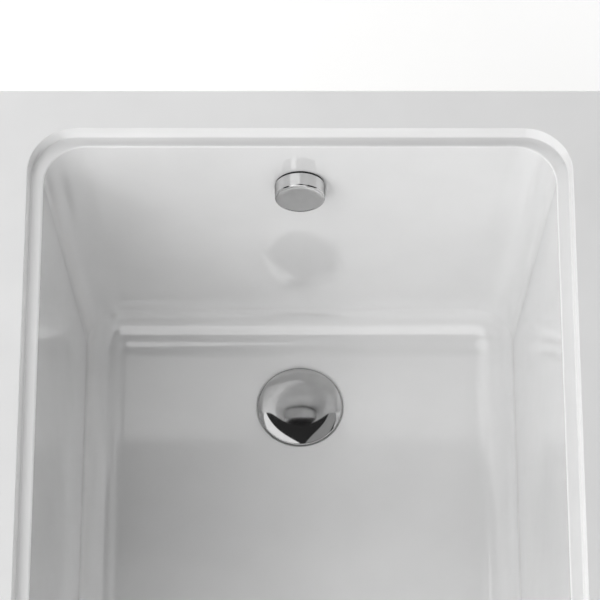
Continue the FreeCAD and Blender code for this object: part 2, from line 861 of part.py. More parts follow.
def drain_cover():
    """A nearly flat crown that rolls over to a thin rim, on a stem that plugs into the plunger."""
    crown_tilt = math.asin(cover_crown_edge / cover_crown_radius)
    run_out = cover_radius - cover_crown_edge
    rim_tilt = math.asin(run_out / cover_roll_radius + math.sin(crown_tilt))
    rim_low = drain_floor_z + cover_floor_gap
    rim_top = rim_low + cover_rim_height
    apex = vec(0, 0, rim_top - cover_point(rim_tilt, 0).z)
    outer = [cover_arc(0, crown_tilt, 0, apex), cover_arc(crown_tilt, rim_tilt, 0, apex)]
    inner = [cover_arc(0, crown_tilt, cover_sheet, apex), cover_arc(crown_tilt, rim_tilt, cover_sheet, apex)]
    outer_end = cover_point(rim_tilt, 0) + apex
    inner_end = cover_point(rim_tilt, cover_sheet) + apex
    corners = [outer_end, vec(cover_radius, 0, rim_low), vec(inner_end.x, 0, rim_low), inner_end]
    edges = outer + inner + Part.makePolygon(corners).Edges
    edges.append(Part.LineSegment(apex, apex - up * cover_sheet).toShape())
    outline = Part.Wire(Part.sortEdges(edges)[0])
    dome = Part.Face(outline).revolve(origin, up, 360)
    rim_edge = edges_with(dome, lambda p: abs(math.hypot(p.x, p.y) - cover_radius) < bond_gap
                          and abs(p.z - rim_top) < bond_gap)
    dome = dome.makeFillet(cover_rim_radius, rim_edge)
    seat = valve_head_bottom() + valve_head_thickness + valve_boss_height + cover_rest_gap
    inside = apex.z - cover_sheet / 2
    collar = rod(cover_collar_radius, seat, inside)
    stem = rod(cover_stem_radius, seat - cover_stem_length, inside)
    return at_drain(dome.fuse([collar, stem]).removeSplitter())


def union_parts(centre_z, x):
    """The nut and seal of a vertical pipe union whose seal starts at a height."""
    seal = ring(pipe_radius, pipe_bore, centre_z - union_seal_thickness, centre_z)
    nut_body = union_nut(union_nut_radius, pipe_radius + union_nut_clearance, union_nut_length)
    low = centre_z - union_seal_thickness / 2 - union_nut_length / 2
    return at_drain(nut_body.translated(vec(x, 0, low))), at_drain(seal.translated(vec(x, 0, 0)))


def trap_rise_top():
    """Half way up the inlet leg."""
    return (trap_leg_bottom + spout_end) / 2


def hollow_pipe(points, radii):
    wire = path_wire(points, radii)
    outside = piped(wire, pipe_radius)
    inside = piped(wire, pipe_bore)
    return at_drain(outside.cut(inside))


def trap_bend():
    """The U that holds the water seal: down, a half turn, and a short rise."""
    top = spout_end - union_seal_thickness
    x = 2 * trap_bend_radius
    low = trap_bend_z
    points = [vec(0, 0, top), vec(0, 0, low), vec(x, 0, low), vec(x, 0, trap_rise_top())]
    return hollow_pipe(points, [trap_bend_radius, trap_bend_radius])


def outlet_height():
    return trap_rise_top() + union_seal_thickness + outlet_rise + outlet_bend_radius


def outlet_pipe():
    x = 2 * trap_bend_radius
    start = vec(x, 0, trap_rise_top() + union_seal_thickness)
    corner = vec(x, 0, outlet_height())
    end = vec(x + outlet_bend_radius + outlet_run, 0, outlet_height())
    return hollow_pipe([start, corner, end], [outlet_bend_radius])


# Overflow set, in the knob's own frame on the foot wall

def polar(radius, angle):
    turn = math.radians(angle)
    return radius * math.cos(turn), radius * math.sin(turn)


def overflow_flange():
    plate = rod(overflow_plate_radius, 0, overflow_plate_thickness)
    neck = ring(overflow_neck_radius, overflow_neck_radius - overflow_neck_wall, -overflow_neck_length, 0)
    bush = rod(bush_radius, -bush_back, bush_front)
    flange = plate.fuse([neck, bush]).removeSplitter()
    flange = flange.cut(rod(spindle_bore, -bush_back - cut_overrun, bush_front + cut_overrun))
    through = overflow_plate_thickness + cut_overrun
    for angle in overflow_window_angles:
        x, y = polar(overflow_fixing_radius, angle)
        window = rod(overflow_window_radius, -cut_overrun, through, x, y)
        flange = flange.cut(window.cut(rod(bush_radius, -cut_overrun, through)))
    for angle in overflow_fixing_angles:
        x, y = polar(overflow_fixing_radius, angle)
        flange = flange.cut(rod(overflow_screw_pilot, -cut_overrun, through, x, y))
    return on_foot_wall(flange)


def gasket_front():
    return -skin_outer


def housing_front():
    return gasket_front() - gasket_thickness


def overflow_gasket():
    return on_foot_wall(ring(gasket_outer_radius, gasket_inner_radius, housing_front(), gasket_front()))


def housing_axis_depth():
    return housing_front() - housing_port_depth


def overflow_housing():
    front = housing_front()
    back = front - housing_length
    depth = housing_axis_depth()
    down = vec(0, -1, 0)
    body = rod(housing_radius, back, front)
    port_length = housing_radius + housing_port_length
    port_start = vec(hose_side_offset, 0, depth)
    boss_start = vec(cable_x(), 0, depth)
    port = Part.makeCylinder(hose_port_radius, port_length, port_start, down)
    boss = Part.makeCylinder(gland_boss_radius, housing_radius + gland_boss_reach, boss_start, down)
    body = body.fuse([port, boss])
    mouth_bore = overflow_neck_radius + thread_clearance
    body = body.cut(rod(mouth_bore, front - housing_mouth_length, front + cut_overrun))
    body = body.cut(rod(housing_bore_radius, back + housing_back_wall, front - housing_mouth_length))
    body = body.cut(Part.makeCylinder(hose_bore_radius, port_length + cut_overrun, port_start, down))
    body = body.cut(Part.makeCylinder(cable_bore, port_length, boss_start, down))
    for angle in overflow_fixing_angles:
        x, y = polar(overflow_fixing_radius, angle)
        boss_front = -overflow_neck_length - bond_gap
        screw_end = overflow_plate_thickness - overflow_screw_length()
        tower = rod(housing_boss_radius, back, boss_front, x, y)
        tower = tower.cut(rod(overflow_screw_pilot, screw_end - pilot_extra_depth, front, x, y))
        body = body.fuse(tower)
    return on_foot_wall(body.removeSplitter())


def overflow_screw_length():
    return overflow_plate_thickness + overflow_neck_length + overflow_screw_engagement


def overflow_screws():
    screws = []
    for angle in overflow_fixing_angles:
        x, y = polar(overflow_fixing_radius, angle)
        seat = overflow_plate_thickness
        head = rod(overflow_screw_head_radius, seat, seat + overflow_screw_head_height, x, y)
        shank = rod(overflow_screw_radius, seat - overflow_screw_length(), seat, x, y)
        screws.append(on_foot_wall(head.fuse(shank).removeSplitter()))
    return group(screws)


def overflow_knob():
    back = knob_wall_gap
    front = back + knob_length
    knob = rod(knob_radius, back, front)
    knob = knob.makeFillet(knob_edge_radius, edges_with(knob, lambda p: p.z > front - bond_gap))
    knob = knob.cut(rod(knob_radius - knob_side_wall, back - cut_overrun, front - knob_front_wall))
    inner_face = front - knob_front_wall
    boss = rod(knob_boss_radius, inner_face - knob_boss_length, inner_face)
    knob = knob.fuse(boss).removeSplitter()
    knob = knob.cut(rod(spindle_bore, inner_face - knob_boss_length - cut_overrun, inner_face))
    start = vec(0, 0, inner_face - knob_boss_length / 2)
    drill = Part.makeCylinder(grub_screw_pilot, knob_radius + cut_overrun, start, vec(0, -1, 0))
    return on_foot_wall(knob.cut(drill))


def knob_spindle():
    front = knob_wall_gap + knob_length - knob_front_wall
    return on_foot_wall(rod(spindle_radius, -spindle_back, front - bond_gap))


def knob_grub_screw():
    screw_z = knob_wall_gap + knob_length - knob_front_wall - knob_boss_length / 2
    start = vec(0, -spindle_radius, screw_z)
    return on_foot_wall(Part.makeCylinder(grub_screw_radius, grub_screw_length, start, vec(0, -1, 0)))


def cable_crank():
    front = -crank_front
    back = front - crank_thickness
    x, y = polar(crank_arm_length, crank_rest_angle)
    hub = rod(crank_hub_radius, back, front)
    tip = rod(crank_tip_radius, back, front, x, y)
    arm = box(0, crank_arm_length, -crank_tip_radius, crank_tip_radius, back, front)
    arm.rotate(origin, up, crank_rest_angle)
    crank = hub.fuse([tip, arm]).removeSplitter()
    crank = crank.cut(rod(spindle_bore, back - cut_overrun, front + cut_overrun))
    return on_foot_wall(crank.cut(rod(crank_pin_hole_radius, back - cut_overrun, front + cut_overrun, x, y)))


# Ribbed hose and its unions

def wall_down():
    return foot_wall_point(0, -1, 0) - foot_wall_point(0, 0, 0)


def hose_points():
    """From the upper union down beside the foot wall, round, and level into the cup's port."""
    reach = housing_radius + housing_port_length + hose_seal_thickness
    start = foot_wall_point(hose_side_offset, -reach, housing_axis_depth())
    down = wall_down()
    corner = start + down * ((start.z - hose_port_height()) / -down.z)
    end = vec(hose_side_offset, drain_y + hose_port_reach + hose_seal_thickness, hose_port_height())
    return [start, corner, end]


def overflow_hose():
    points = hose_points()
    wire = path_wire(points, [hose_bend_radius])
    length = wire.Length
    ribbed = length - 2 * hose_cuff_length
    count = int(ribbed / hose_rib_pitch)
    pitch = ribbed / count
    flank = pitch * hose_rib_flank_share
    crest = pitch * hose_rib_width_share
    stations = [(0, hose_port_radius)]
    for index in range(count):
        begin = hose_cuff_length + index * pitch
        stations.append((begin, hose_port_radius))
        stations.append((begin + flank, hose_root_radius))
        stations.append((begin + pitch - crest - flank, hose_root_radius))
        stations.append((begin + pitch - crest, hose_port_radius))
    stations.append((length, hose_port_radius))
    circles = []
    for place, radius in stations:
        centre, direction = along(wire, place)
        circles.append(round_wire(centre, direction, radius))
    outside = Part.makeLoft(circles, True, True)
    return outside.cut(piped(wire, hose_bore_radius))


def along(wire, place):
    """The point and direction at a distance along a wire."""
    for edge in wire.OrderedEdges:
        if place <= edge.Length or edge.isSame(wire.OrderedEdges[-1]):
            parameter = edge.getParameterByLength(min(place, edge.Length))
            return edge.valueAt(parameter), edge.tangentAt(parameter)
        place -= edge.Length


def hose_union(end, away):
    """The nut and seal where the hose's end meets a port that lies the other way."""
    seal = aim(ring(hose_port_radius, hose_bore_radius, 0, hose_seal_thickness), end, away)
    nut_body = union_nut(hose_nut_radius, hose_port_radius + union_nut_clearance, hose_nut_length)
    middle = hose_nut_length / 2 - hose_seal_thickness / 2
    return aim(nut_body.translated(vec(0, 0, -middle)), end, away), seal


# Bowden cable

def cable_x():
    return hose_side_offset - cable_offset


def cable_points():
    """From the lower gland outwards, across to the hose, and up beside it to the upper gland."""
    direction = gland_direction()
    gland_end = vec(0, drain_y, gland_height()) + direction * (cup_outside + gland_boss_reach + gland_length)
    start = gland_end - direction * gland_grip
    first = gland_end + direction * cable_leg_length
    reach = housing_radius + gland_boss_reach + gland_length
    top_gland = foot_wall_point(cable_x(), -reach, housing_axis_depth())
    down = wall_down()
    second = top_gland + down * ((top_gland.z - gland_height()) / -down.z)
    end = top_gland - down * gland_grip
    return [start, first, second, end]


def run_radii(points):
    """Each arc as large as its two runs allow."""
    radii = []
    for index in range(1, len(points) - 1):
        back = points[index - 1] - points[index]
        ahead = points[index + 1] - points[index]
        half_turn = (math.pi - back.getAngle(ahead)) / 2
        radii.append(cable_arc_share * min(back.Length, ahead.Length) / math.tan(half_turn))
    return radii


def bowden_cable():
    points = cable_points()
    radii = run_radii(points)
    wire = path_wire(points, radii)
    cable = piped(wire, cable_radius)
    share = cable.Volume / (math.pi * cable_radius ** 2 * wire.Length)
    print("cable length", round(wire.Length, 1), "arc radii", [round(radius, 1) for radius in radii])
    print("cable volume as a share of section times length", round(share, 4))
    return cable


def cable_gland():
    """A gland along Z: a hexagon against the boss and a round neck that holds the cable."""
    head = hexagon(gland_radius * math.sqrt(3), 0, gland_length / 2)
    neck = rod(gland_radius * gland_neck_share, gland_length / 2, gland_length)
    bore = rod(cable_bore, -cut_overrun, gland_length + cut_overrun)
    return head.fuse(neck).removeSplitter().cut(bore)


def cable_gland_lower():
    start = vec(0, drain_y, gland_height()) + gland_direction() * (cup_outside + gland_boss_reach)
    return aim(cable_gland(), start, gland_direction())


def cable_gland_upper():
    start = foot_wall_point(cable_x(), -housing_radius - gland_boss_reach, housing_axis_depth())
    return aim(cable_gland(), start, wall_down())


def cable_clips():
    """Two clips, each a ring round the hose joined to a ring round the cable."""
    hose_top, hose_corner, hose_end = hose_points()
    clips = []
    for share in clip_run_shares:
        centre = hose_top + (hose_corner - hose_top) * share
        hose_ring = rod(hose_port_radius + clip_clearance + clip_wall, 0, clip_width)
        cable_ring = rod(cable_bore + clip_wall, 0, clip_width, -cable_offset)
        web = box(-cable_offset, -hose_port_radius, -clip_wall / 2, clip_wall / 2, 0, clip_width)
        clip = hose_ring.fuse([cable_ring, web])
        clip = clip.cut(rod(hose_port_radius + clip_clearance, -cut_overrun, clip_width + cut_overrun))
        clip = clip.cut(rod(cable_bore, -cut_overrun, clip_width + cut_overrun, -cable_offset))
        clip.Placement = FreeCAD.Placement(centre, FreeCAD.Rotation(vec(1, 0, 0), -foot_lean))
        clips.append(clip)
    return group(clips)


def main():
    pieces = {
        "tub_shell": tub_shell(),
        "glass_fibre_backing": glass_fibre_backing(),
        "base_board": base_board(),
        "batten_left": batten_side(-1),
        "batten_right": batten_side(1),
        "batten_head": batten_end(-1),
        "batten_foot": batten_end(1),
        "cradle_rail_head": cradle_rail(rail_head_y),
        "cradle_rail_foot": cradle_rail(rail_foot_y),
        "rail_screws": group([wood_screw(x, y, rail_web_under) for x, y in rail_screw_places()]),
        "rail_nuts": group([nut(x, y, rail_top) for name, x, y in foot_places()]),
        "lock_nuts": group([nut(x, y, rail_web_under - nut_height) for name, x, y in foot_places()]),
        "wall_bracket_head": wall_bracket(-bracket_y),
        "wall_bracket_foot": wall_bracket(bracket_y),
        "bracket_screws": bracket_screws(),
        "waste_flange": waste_flange(),
        "waste_seal_upper": waste_seal_upper(),
        "waste_seal_lower": waste_seal_lower(),
        "waste_body": waste_body(),
        "cable_guide": cable_guide(),
        "lift_plunger": lift_plunger(),
        "plug_seal": plug_seal(),
        "drain_cover": drain_cover(),
        "trap_bend": trap_bend(),
        "outlet_pipe": outlet_pipe(),
        "overflow_flange": overflow_flange(),
        "overflow_gasket": overflow_gasket(),
        "overflow_housing": overflow_housing(),
        "overflow_screws": overflow_screws(),
        "overflow_knob": overflow_knob(),
        "knob_spindle": knob_spindle(),
        "knob_grub_screw": knob_grub_screw(),
        "cable_crank": cable_crank(),
        "overflow_hose": overflow_hose(),
        "bowden_cable": bowden_cable(),
        "cable_gland_upper": cable_gland_upper(),
        "cable_gland_lower": cable_gland_lower(),
        "cable_clips": cable_clips(),
    }
    for name, x, y in foot_places():
        pieces["foot_stud_" + name] = foot_stud(x, y)
        pieces["foot_pad_" + name] = foot_pad(x, y)
    pieces["trap_nut_inlet"], pieces["trap_seal_inlet"] = union_parts(spout_end, 0)
    outlet_seal_top = trap_rise_top() + union_seal_thickness
    pieces["trap_nut_outlet"], pieces["trap_seal_outlet"] = union_parts(outlet_seal_top, 2 * trap_bend_radius)
    hose_start, hose_corner, hose_end = hose_points()
    pieces["hose_nut_upper"], pieces["hose_seal_upper"] = hose_union(hose_start, wall_down() * -1)
    pieces["hose_nut_lower"], pieces["hose_seal_lower"] = hose_union(hose_end, vec(0, -1, 0))
    os.makedirs("parts", exist_ok=True)
    for name, shape in pieces.items():
        shape.exportStep("parts/" + name + ".step")
        print(name, "solids", len(shape.Solids), "valid", shape.isValid(), "volume mm3", round(shape.Volume))


main()
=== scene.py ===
"""Looks of the acrylic bathtub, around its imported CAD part. Lengths are millimetres until a mesh is made."""
import json
import math

import bmesh
import bpy
from mathutils import Matrix, Vector


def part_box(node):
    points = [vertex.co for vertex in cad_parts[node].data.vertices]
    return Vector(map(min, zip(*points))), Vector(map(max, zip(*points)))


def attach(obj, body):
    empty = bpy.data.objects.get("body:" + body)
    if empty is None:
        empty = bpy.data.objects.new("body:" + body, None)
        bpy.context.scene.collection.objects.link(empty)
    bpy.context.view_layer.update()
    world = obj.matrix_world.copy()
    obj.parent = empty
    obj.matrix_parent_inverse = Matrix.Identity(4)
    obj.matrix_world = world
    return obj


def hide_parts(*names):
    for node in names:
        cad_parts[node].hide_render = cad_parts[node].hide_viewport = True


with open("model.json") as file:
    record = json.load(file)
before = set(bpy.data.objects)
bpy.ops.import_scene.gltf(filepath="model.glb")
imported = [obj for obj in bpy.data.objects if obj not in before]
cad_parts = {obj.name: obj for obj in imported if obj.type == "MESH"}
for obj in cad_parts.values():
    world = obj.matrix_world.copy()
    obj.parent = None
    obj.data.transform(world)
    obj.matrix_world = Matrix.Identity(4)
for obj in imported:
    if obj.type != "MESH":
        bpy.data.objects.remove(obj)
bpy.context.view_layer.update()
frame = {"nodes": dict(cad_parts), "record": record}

MM = 0.001
UP = Vector((0, 0, 1))
node_slots = {part["node"]: part["material_slot"] for part in frame["record"]["subparts"]}
node_bodies = {node: body for body, nodes in frame["record"]["behaviour"]["bodies"].items() for node in nodes}


def node_box(node):
    """Lowest and highest corner of a CAD node, in millimetres."""
    low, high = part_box(node)
    return low / MM, high / MM


# Driving dimensions of the tub

rim_height = 590.0
half_width = 375.0
half_length = 850.0
rim_lip_height = 40.0
rim_corner_radius = 8.0
rim_edge_radius = 3.0
lip_edge_radius = 1.2
acrylic = 5.0
deck_side_width = 50.5
deck_end_width = 52.5
opening_corner_radius = 57.0
step_height = 15.0
step_run = 4.0
ledge_side_width = 14.5
ledge_end_width = 13.1
step_root_radius = 2.0
step_edge_radius = 1.2
ledge_edge_radius = 2.5
side_lean = math.radians(5.1)
foot_lean = math.radians(6.2)
head_lean = math.radians(28.0)
basin_depth = 432.0
floor_fall = 30.0
drain_fall = math.radians(2.0)
drain_fall_length = 200.0
floor_edge_radius = 50.0
backrest_foot_radius = 150.0
drain_from_foot_wall = 115.5
dish_depth = 3.0
dish_radius = 51.0
dish_lip_radius = 57.0
waste_hole_radius = 45.0
overflow_hole_radius = 26.0
knob_drop = 97.0
# Half of the square of the mesh that each round hole sits in
drain_patch_half = 66.0
knob_patch_half = 38.0

opening_x = half_width - deck_side_width
opening_y = half_length - deck_end_width
wall_top_x = opening_x - step_run - ledge_side_width
wall_top_y = opening_y - step_run - ledge_end_width
ledge_z = rim_height - step_height
floor_z = rim_height - basin_depth
wall_height = basin_depth - step_height
foot_floor_y = wall_top_y - wall_height * math.tan(foot_lean)
head_floor_y = -wall_top_y + (wall_height - floor_fall) * math.tan(head_lean)
drain_y = foot_floor_y - drain_from_foot_wall
mean_fall = math.atan(floor_fall / (foot_floor_y - head_floor_y))
drain_floor_z = floor_z + drain_from_foot_wall * math.tan(mean_fall)
dish_z = drain_floor_z - dish_depth
knob_z = rim_height - knob_drop
knob_y = wall_top_y - (ledge_z - knob_z) * math.tan(foot_lean)


# Materials

def linear(colour):
    """sRGB hex to the linear colour that a shader takes."""
    shares = [int(colour[i:i + 2], 16) / 255 for i in (0, 2, 4)]
    return [s / 12.92 if s <= 0.04045 else ((s + 0.055) / 1.055) ** 2.4 for s in shares] + [1.0]


def add(tree, kind, inputs=None, **settings):
    """Adds one node. Its inputs are constants or the outputs of other nodes."""
    node = tree.nodes.new(kind)
    for name, value in settings.items():
        setattr(node, name, value)
    for name, value in (inputs or {}).items():
        if isinstance(value, bpy.types.NodeSocket):
            tree.links.new(value, node.inputs[name])
        else:
            node.inputs[name].default_value = value
    return node


def finish_of(name, colour, roughness, metallic=0.0, ior=None):
    """A new material: its node tree, its shader and the coordinates of the object."""
    material = bpy.data.materials.new(name)
    material.use_nodes = True
    tree = material.node_tree
    shader = tree.nodes["Principled BSDF"]
    shader.inputs["Base Color"].default_value = linear(colour)
    shader.inputs["Roughness"].default_value = roughness
    shader.inputs["Metallic"].default_value = metallic
    if ior:
        shader.inputs["IOR"].default_value = ior
    place = add(tree, "ShaderNodeTexCoord").outputs["Object"]
    return material, tree, shader, place


def shades(tree, amount, dark, light, low=0.0, high=1.0):
    """Runs a pattern's amount from one colour to another."""
    ramp = add(tree, "ShaderNodeValToRGB", {"Fac": amount})
    for stop, at, colour in zip(ramp.color_ramp.elements, (low, high), (dark, light)):
        stop.position = at
        stop.color = linear(colour)
    return ramp.outputs["Color"]


def levels(tree, amount, low, high):
    """Runs a pattern's amount, 0 to 1, between two values."""
    return add(tree, "ShaderNodeMapRange", {"Value": amount, "To Min": low, "To Max": high}).outputs["Result"]


def relief(tree, shader, height, depth_mm):
    """Lets a pattern raise the surface by up to this depth in the light."""
    bump = add(tree, "ShaderNodeBump", {"Height": height, "Distance": depth_mm * MM, "Strength": 1.0})
    tree.links.new(bump.outputs["Normal"], shader.inputs["Normal"])


def per_metre(size_mm):
    """The scale of a pattern whose features are this many millimetres apart."""
    return 1000.0 / size_mm


def cast_acrylic():
    """Vacuum-formed cast acrylic, waxed: a strong soft-edged gloss over the faint slow waves of forming."""
    material, tree, shader, place = finish_of("cast_acrylic_white", "F1F1F1", 0.14, ior=1.6)
    shader.inputs["Coat Weight"].default_value = 1.0
    shader.inputs["Coat Roughness"].default_value = 0.1
    shader.inputs["Coat IOR"].default_value = 1.7
    cloud = add(tree, "ShaderNodeTexNoise",
                {"Vector": place, "Scale": per_metre(90), "Detail": 2.0}).outputs["Fac"]
    tree.links.new(shades(tree, cloud, "EFEFEF", "F3F3F3", 0.3, 0.7), shader.inputs["Base Color"])
    wave = add(tree, "ShaderNodeTexNoise",
               {"Vector": place, "Scale": per_metre(140), "Detail": 0.0}).outputs["Fac"]
    relief(tree, shader, wave, 0.12)
    haze = add(tree, "ShaderNodeTexNoise",
               {"Vector": place, "Scale": per_metre(30), "Detail": 4.0}).outputs["Fac"]
    tree.links.new(levels(tree, haze, 0.12, 0.16), shader.inputs["Roughness"])
    return material


strand_turns = (0.3, 1.2, 2.1, 2.9)
strand_slimness = 0.07


def laminated_glass_fibre():
    """Chopped strands in resin, rolled on by hand: lumpy, with pale strands every way, drawn 4 mm wide."""
    material, tree, shader, place = finish_of("chopped_strand_glass_fibre", "CBC6B2", 0.42, ior=1.55)
    strands = None
    for turn in strand_turns:
        lying = add(tree, "ShaderNodeMapping", {"Vector": place, "Rotation": (turn, 0.6 * turn, 1.7 * turn),
                                                "Scale": (1.0, strand_slimness, 0.5)}).outputs["Vector"]
        layer = add(tree, "ShaderNodeTexNoise",
                    {"Vector": lying, "Scale": per_metre(4), "Detail": 1.0}).outputs["Fac"]
        if strands:
            layer = add(tree, "ShaderNodeMath", {0: strands, 1: layer}, operation="MAXIMUM").outputs[0]
        strands = layer
    tree.links.new(shades(tree, strands, "C0BBA7", "D3CFBF", 0.5, 0.74), shader.inputs["Base Color"])
    lumps = add(tree, "ShaderNodeTexNoise",
                {"Vector": place, "Scale": per_metre(12), "Detail": 6.0}).outputs["Fac"]
    height = add(tree, "ShaderNodeMath", {0: strands, 1: lumps}, operation="ADD").outputs[0]
    relief(tree, shader, height, 1.2)
    tree.links.new(levels(tree, lumps, 0.3, 0.6), shader.inputs["Roughness"])
    return material


def particle_board():
    """Pressed wood chips, drawn a little coarse so that they show, with no sheen."""
    material, tree, shader, place = finish_of("particle_board", "C3A67C", 0.75, ior=1.5)
    chips = add(tree, "ShaderNodeTexVoronoi", {"Vector": place, "Scale": per_metre(2.5)}).outputs["Color"]
    grey = add(tree, "ShaderNodeSeparateColor", {"Color": chips}).outputs["Red"]
    tree.links.new(shades(tree, grey, "AE8C61", "CFB48A", 0.1, 0.9), shader.inputs["Base Color"])
    relief(tree, shader, grey, 0.15)
    return material


def planed_spruce():
    """Planed softwood: long growth-ring streaks and fine fibres, matt."""
    material, tree, shader, place = finish_of("planed_spruce", "D8BA86", 0.6, ior=1.5)
    grain = add(tree, "ShaderNodeMapping", {"Vector": place, "Scale": (1.0, 0.05, 1.0)}).outputs["Vector"]
    rings = add(tree, "ShaderNodeTexNoise",
                {"Vector": grain, "Scale": per_metre(9), "Detail": 5.0}).outputs["Fac"]
    tree.links.new(shades(tree, rings, "BD935B", "E3CA9C", 0.35, 0.65), shader.inputs["Base Color"])
    relief(tree, shader, rings, 0.25)
    return material


def galvanised_steel():
    """Hot-dip zinc on folded sheet: crystal flakes of lighter and duller grey."""
    material, tree, shader, place = finish_of("galvanised_steel", "A9ACAE", 0.38, 1.0)
    flakes = add(tree, "ShaderNodeTexVoronoi", {"Vector": place, "Scale": per_metre(9)}).outputs["Color"]
    grey = add(tree, "ShaderNodeSeparateColor", {"Color": flakes}).outputs["Red"]
    tree.links.new(shades(tree, grey, "989B9E", "BBBEC0"), shader.inputs["Base Color"])
    tree.links.new(levels(tree, grey, 0.28, 0.5), shader.inputs["Roughness"])
    return material


def bright_zinc_plate():
    """Electroplated zinc on small turned steel parts: even silver with a faint haze."""
    material, tree, shader, place = finish_of("bright_zinc_plate", "BFC2C4", 0.25, 1.0)
    haze = add(tree, "ShaderNodeTexNoise",
               {"Vector": place, "Scale": per_metre(3), "Detail": 3.0}).outputs["Fac"]
    tree.links.new(shades(tree, haze, "B1B4B7", "CACDCF", 0.3, 0.7), shader.inputs["Base Color"])
    tree.links.new(levels(tree, haze, 0.18, 0.34), shader.inputs["Roughness"])
    return material


def satin_stainless():
    """Spun stainless steel: satin rings round the waste, drawn 4 mm apart so that they show."""
    material, tree, shader, place = finish_of("satin_stainless_steel", "B9B9B7", 0.24, 1.0)
    centred = add(tree, "ShaderNodeMapping", {"Vector": place, "Location": (0.0, -drain_y * MM, 0.0)})
    spun = add(tree, "ShaderNodeTexWave",
               {"Vector": centred.outputs["Vector"], "Scale": per_metre(4), "Distortion": 0.4},
               wave_type="RINGS", rings_direction="Z").outputs["Fac"]
    tree.links.new(levels(tree, spun, 0.18, 0.32), shader.inputs["Roughness"])
    relief(tree, shader, spun, 0.01)
    return material


def polished_chrome(name, dark, light, haze_low, haze_high):
    """Chrome on brass: a clear mirror, darker where it curves away, with a breath of haze from wiping."""
    material, tree, shader, place = finish_of(name, light, haze_low, 1.0)
    shader.inputs["Specular Tint"].default_value = linear("A0A0A0")
    haze = add(tree, "ShaderNodeTexNoise",
               {"Vector": place, "Scale": per_metre(22), "Detail": 3.0}).outputs["Fac"]
    tree.links.new(levels(tree, haze, haze_low, haze_high), shader.inputs["Roughness"])
    tree.links.new(shades(tree, haze, dark, light, 0.3, 0.7), shader.inputs["Base Color"])
    return material


def turned_brass():
    """Turned brass: warm, with tool marks round the axis, drawn 1.2 mm apart so that they show."""
    material, tree, shader, place = finish_of("turned_brass", "C9A45C", 0.28, 1.0)
    marks = add(tree, "ShaderNodeTexWave", {"Vector": place, "Scale": per_metre(1.2)}, bands_direction="Y")
    tree.links.new(levels(tree, marks.outputs["Fac"], 0.22, 0.36), shader.inputs["Roughness"])
    return material


def moulded(name, colour, roughness, grain_mm):
    """Injection-moulded plastic with the even spark texture of its mould, drawn coarse so that it shows."""
    material, tree, shader, place = finish_of(name, colour, roughness, ior=1.5)
    grain = add(tree, "ShaderNodeTexNoise",
                {"Vector": place, "Scale": per_metre(grain_mm), "Detail": 2.0}).outputs["Fac"]
    relief(tree, shader, grain, 0.03)
    tree.links.new(levels(tree, grain, roughness - 0.05, roughness + 0.07), shader.inputs["Roughness"])
    return material


def moulded_rubber():
    """Black nitrile rubber: matt, with a dusty bloom."""
    material, tree, shader, place = finish_of("moulded_rubber", "1B1B1C", 0.62, ior=1.52)
    bloom = add(tree, "ShaderNodeTexNoise",
                {"Vector": place, "Scale": per_metre(5), "Detail": 4.0}).outputs["Fac"]
    tree.links.new(shades(tree, bloom, "161617", "262627", 0.35, 0.75), shader.inputs["Base Color"])
    return material


finishes = {
    "acrylic": cast_acrylic(),
    "glass_fibre": laminated_glass_fibre(),
    "board": particle_board(),
    "timber": planed_spruce(),
    "galvanised_steel": galvanised_steel(),
    "zinc_plate": bright_zinc_plate(),
    "stainless_steel": satin_stainless(),
    "chrome": polished_chrome("polished_chrome", "BCBCBC", "C4C4C4", 0.05, 0.07),
    "brass": turned_brass(),
    "white_plastic": moulded("polypropylene_white", "E6E6E3", 0.36, 1.5),
    "grey_plastic": moulded("pvc_grey", "85898C", 0.38, 1.5),
    "grey_hose": moulded("polyethylene_hose_grey", "8E9194", 0.45, 2.0),
    "cable_sheath": moulded("cable_sheath_black", "1E1F20", 0.5, 1.0),
    "black_plastic": moulded("polyamide_black", "232425", 0.48, 1.2),
    "black_rubber": moulded_rubber(),
}


# Mesh tools

crease_angle = math.radians(28)
large_face_weight = 80
same_point_gap = 0.001


def facing(points, normals, face):
    """The face's points in the order that turns it to the side its normals point to."""
    first = points[face[0]]
    turn = sum(((points[a] - first).cross(points[b] - first) for a, b in zip(face, face[1:])), Vector())
    return face if turn.dot(sum((normals[i] for i in face), Vector())) > 0 else tuple(reversed(face))


def new_piece(name, points, faces, normals=None):
    """A smooth mesh from points in millimetres, with its own normals or those given for each point."""
    mesh = bpy.data.meshes.new(name)
    if normals:
        faces = [facing(points, normals, face) for face in faces]
    mesh.from_pydata([Vector(p) * MM for p in points], [], faces)
    mesh.validate()
    mesh.polygons.foreach_set("use_smooth", [True] * len(mesh.polygons))
    if normals:
        mesh.normals_split_custom_set_from_vertices([Vector(n).normalized() for n in normals])
    mesh.update()
    piece = bpy.data.objects.new(name, mesh)
    bpy.context.scene.collection.objects.link(piece)
    return piece


def dress(piece, node, smooth_faces=True, finish=None):
    """Puts a piece in the place of its CAD node, on that node's body, in the node's finish or another."""
    piece.data.materials.append(finish or finishes[node_slots[node]])
    if smooth_faces:
        piece.data.set_sharp_from_angle(angle=crease_angle)
        modifier = piece.modifiers.new("even_shading", "WEIGHTED_NORMAL")
        modifier.keep_sharp = True
        modifier.weight = large_face_weight
    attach(piece, node_bodies[node])
    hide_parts(node)


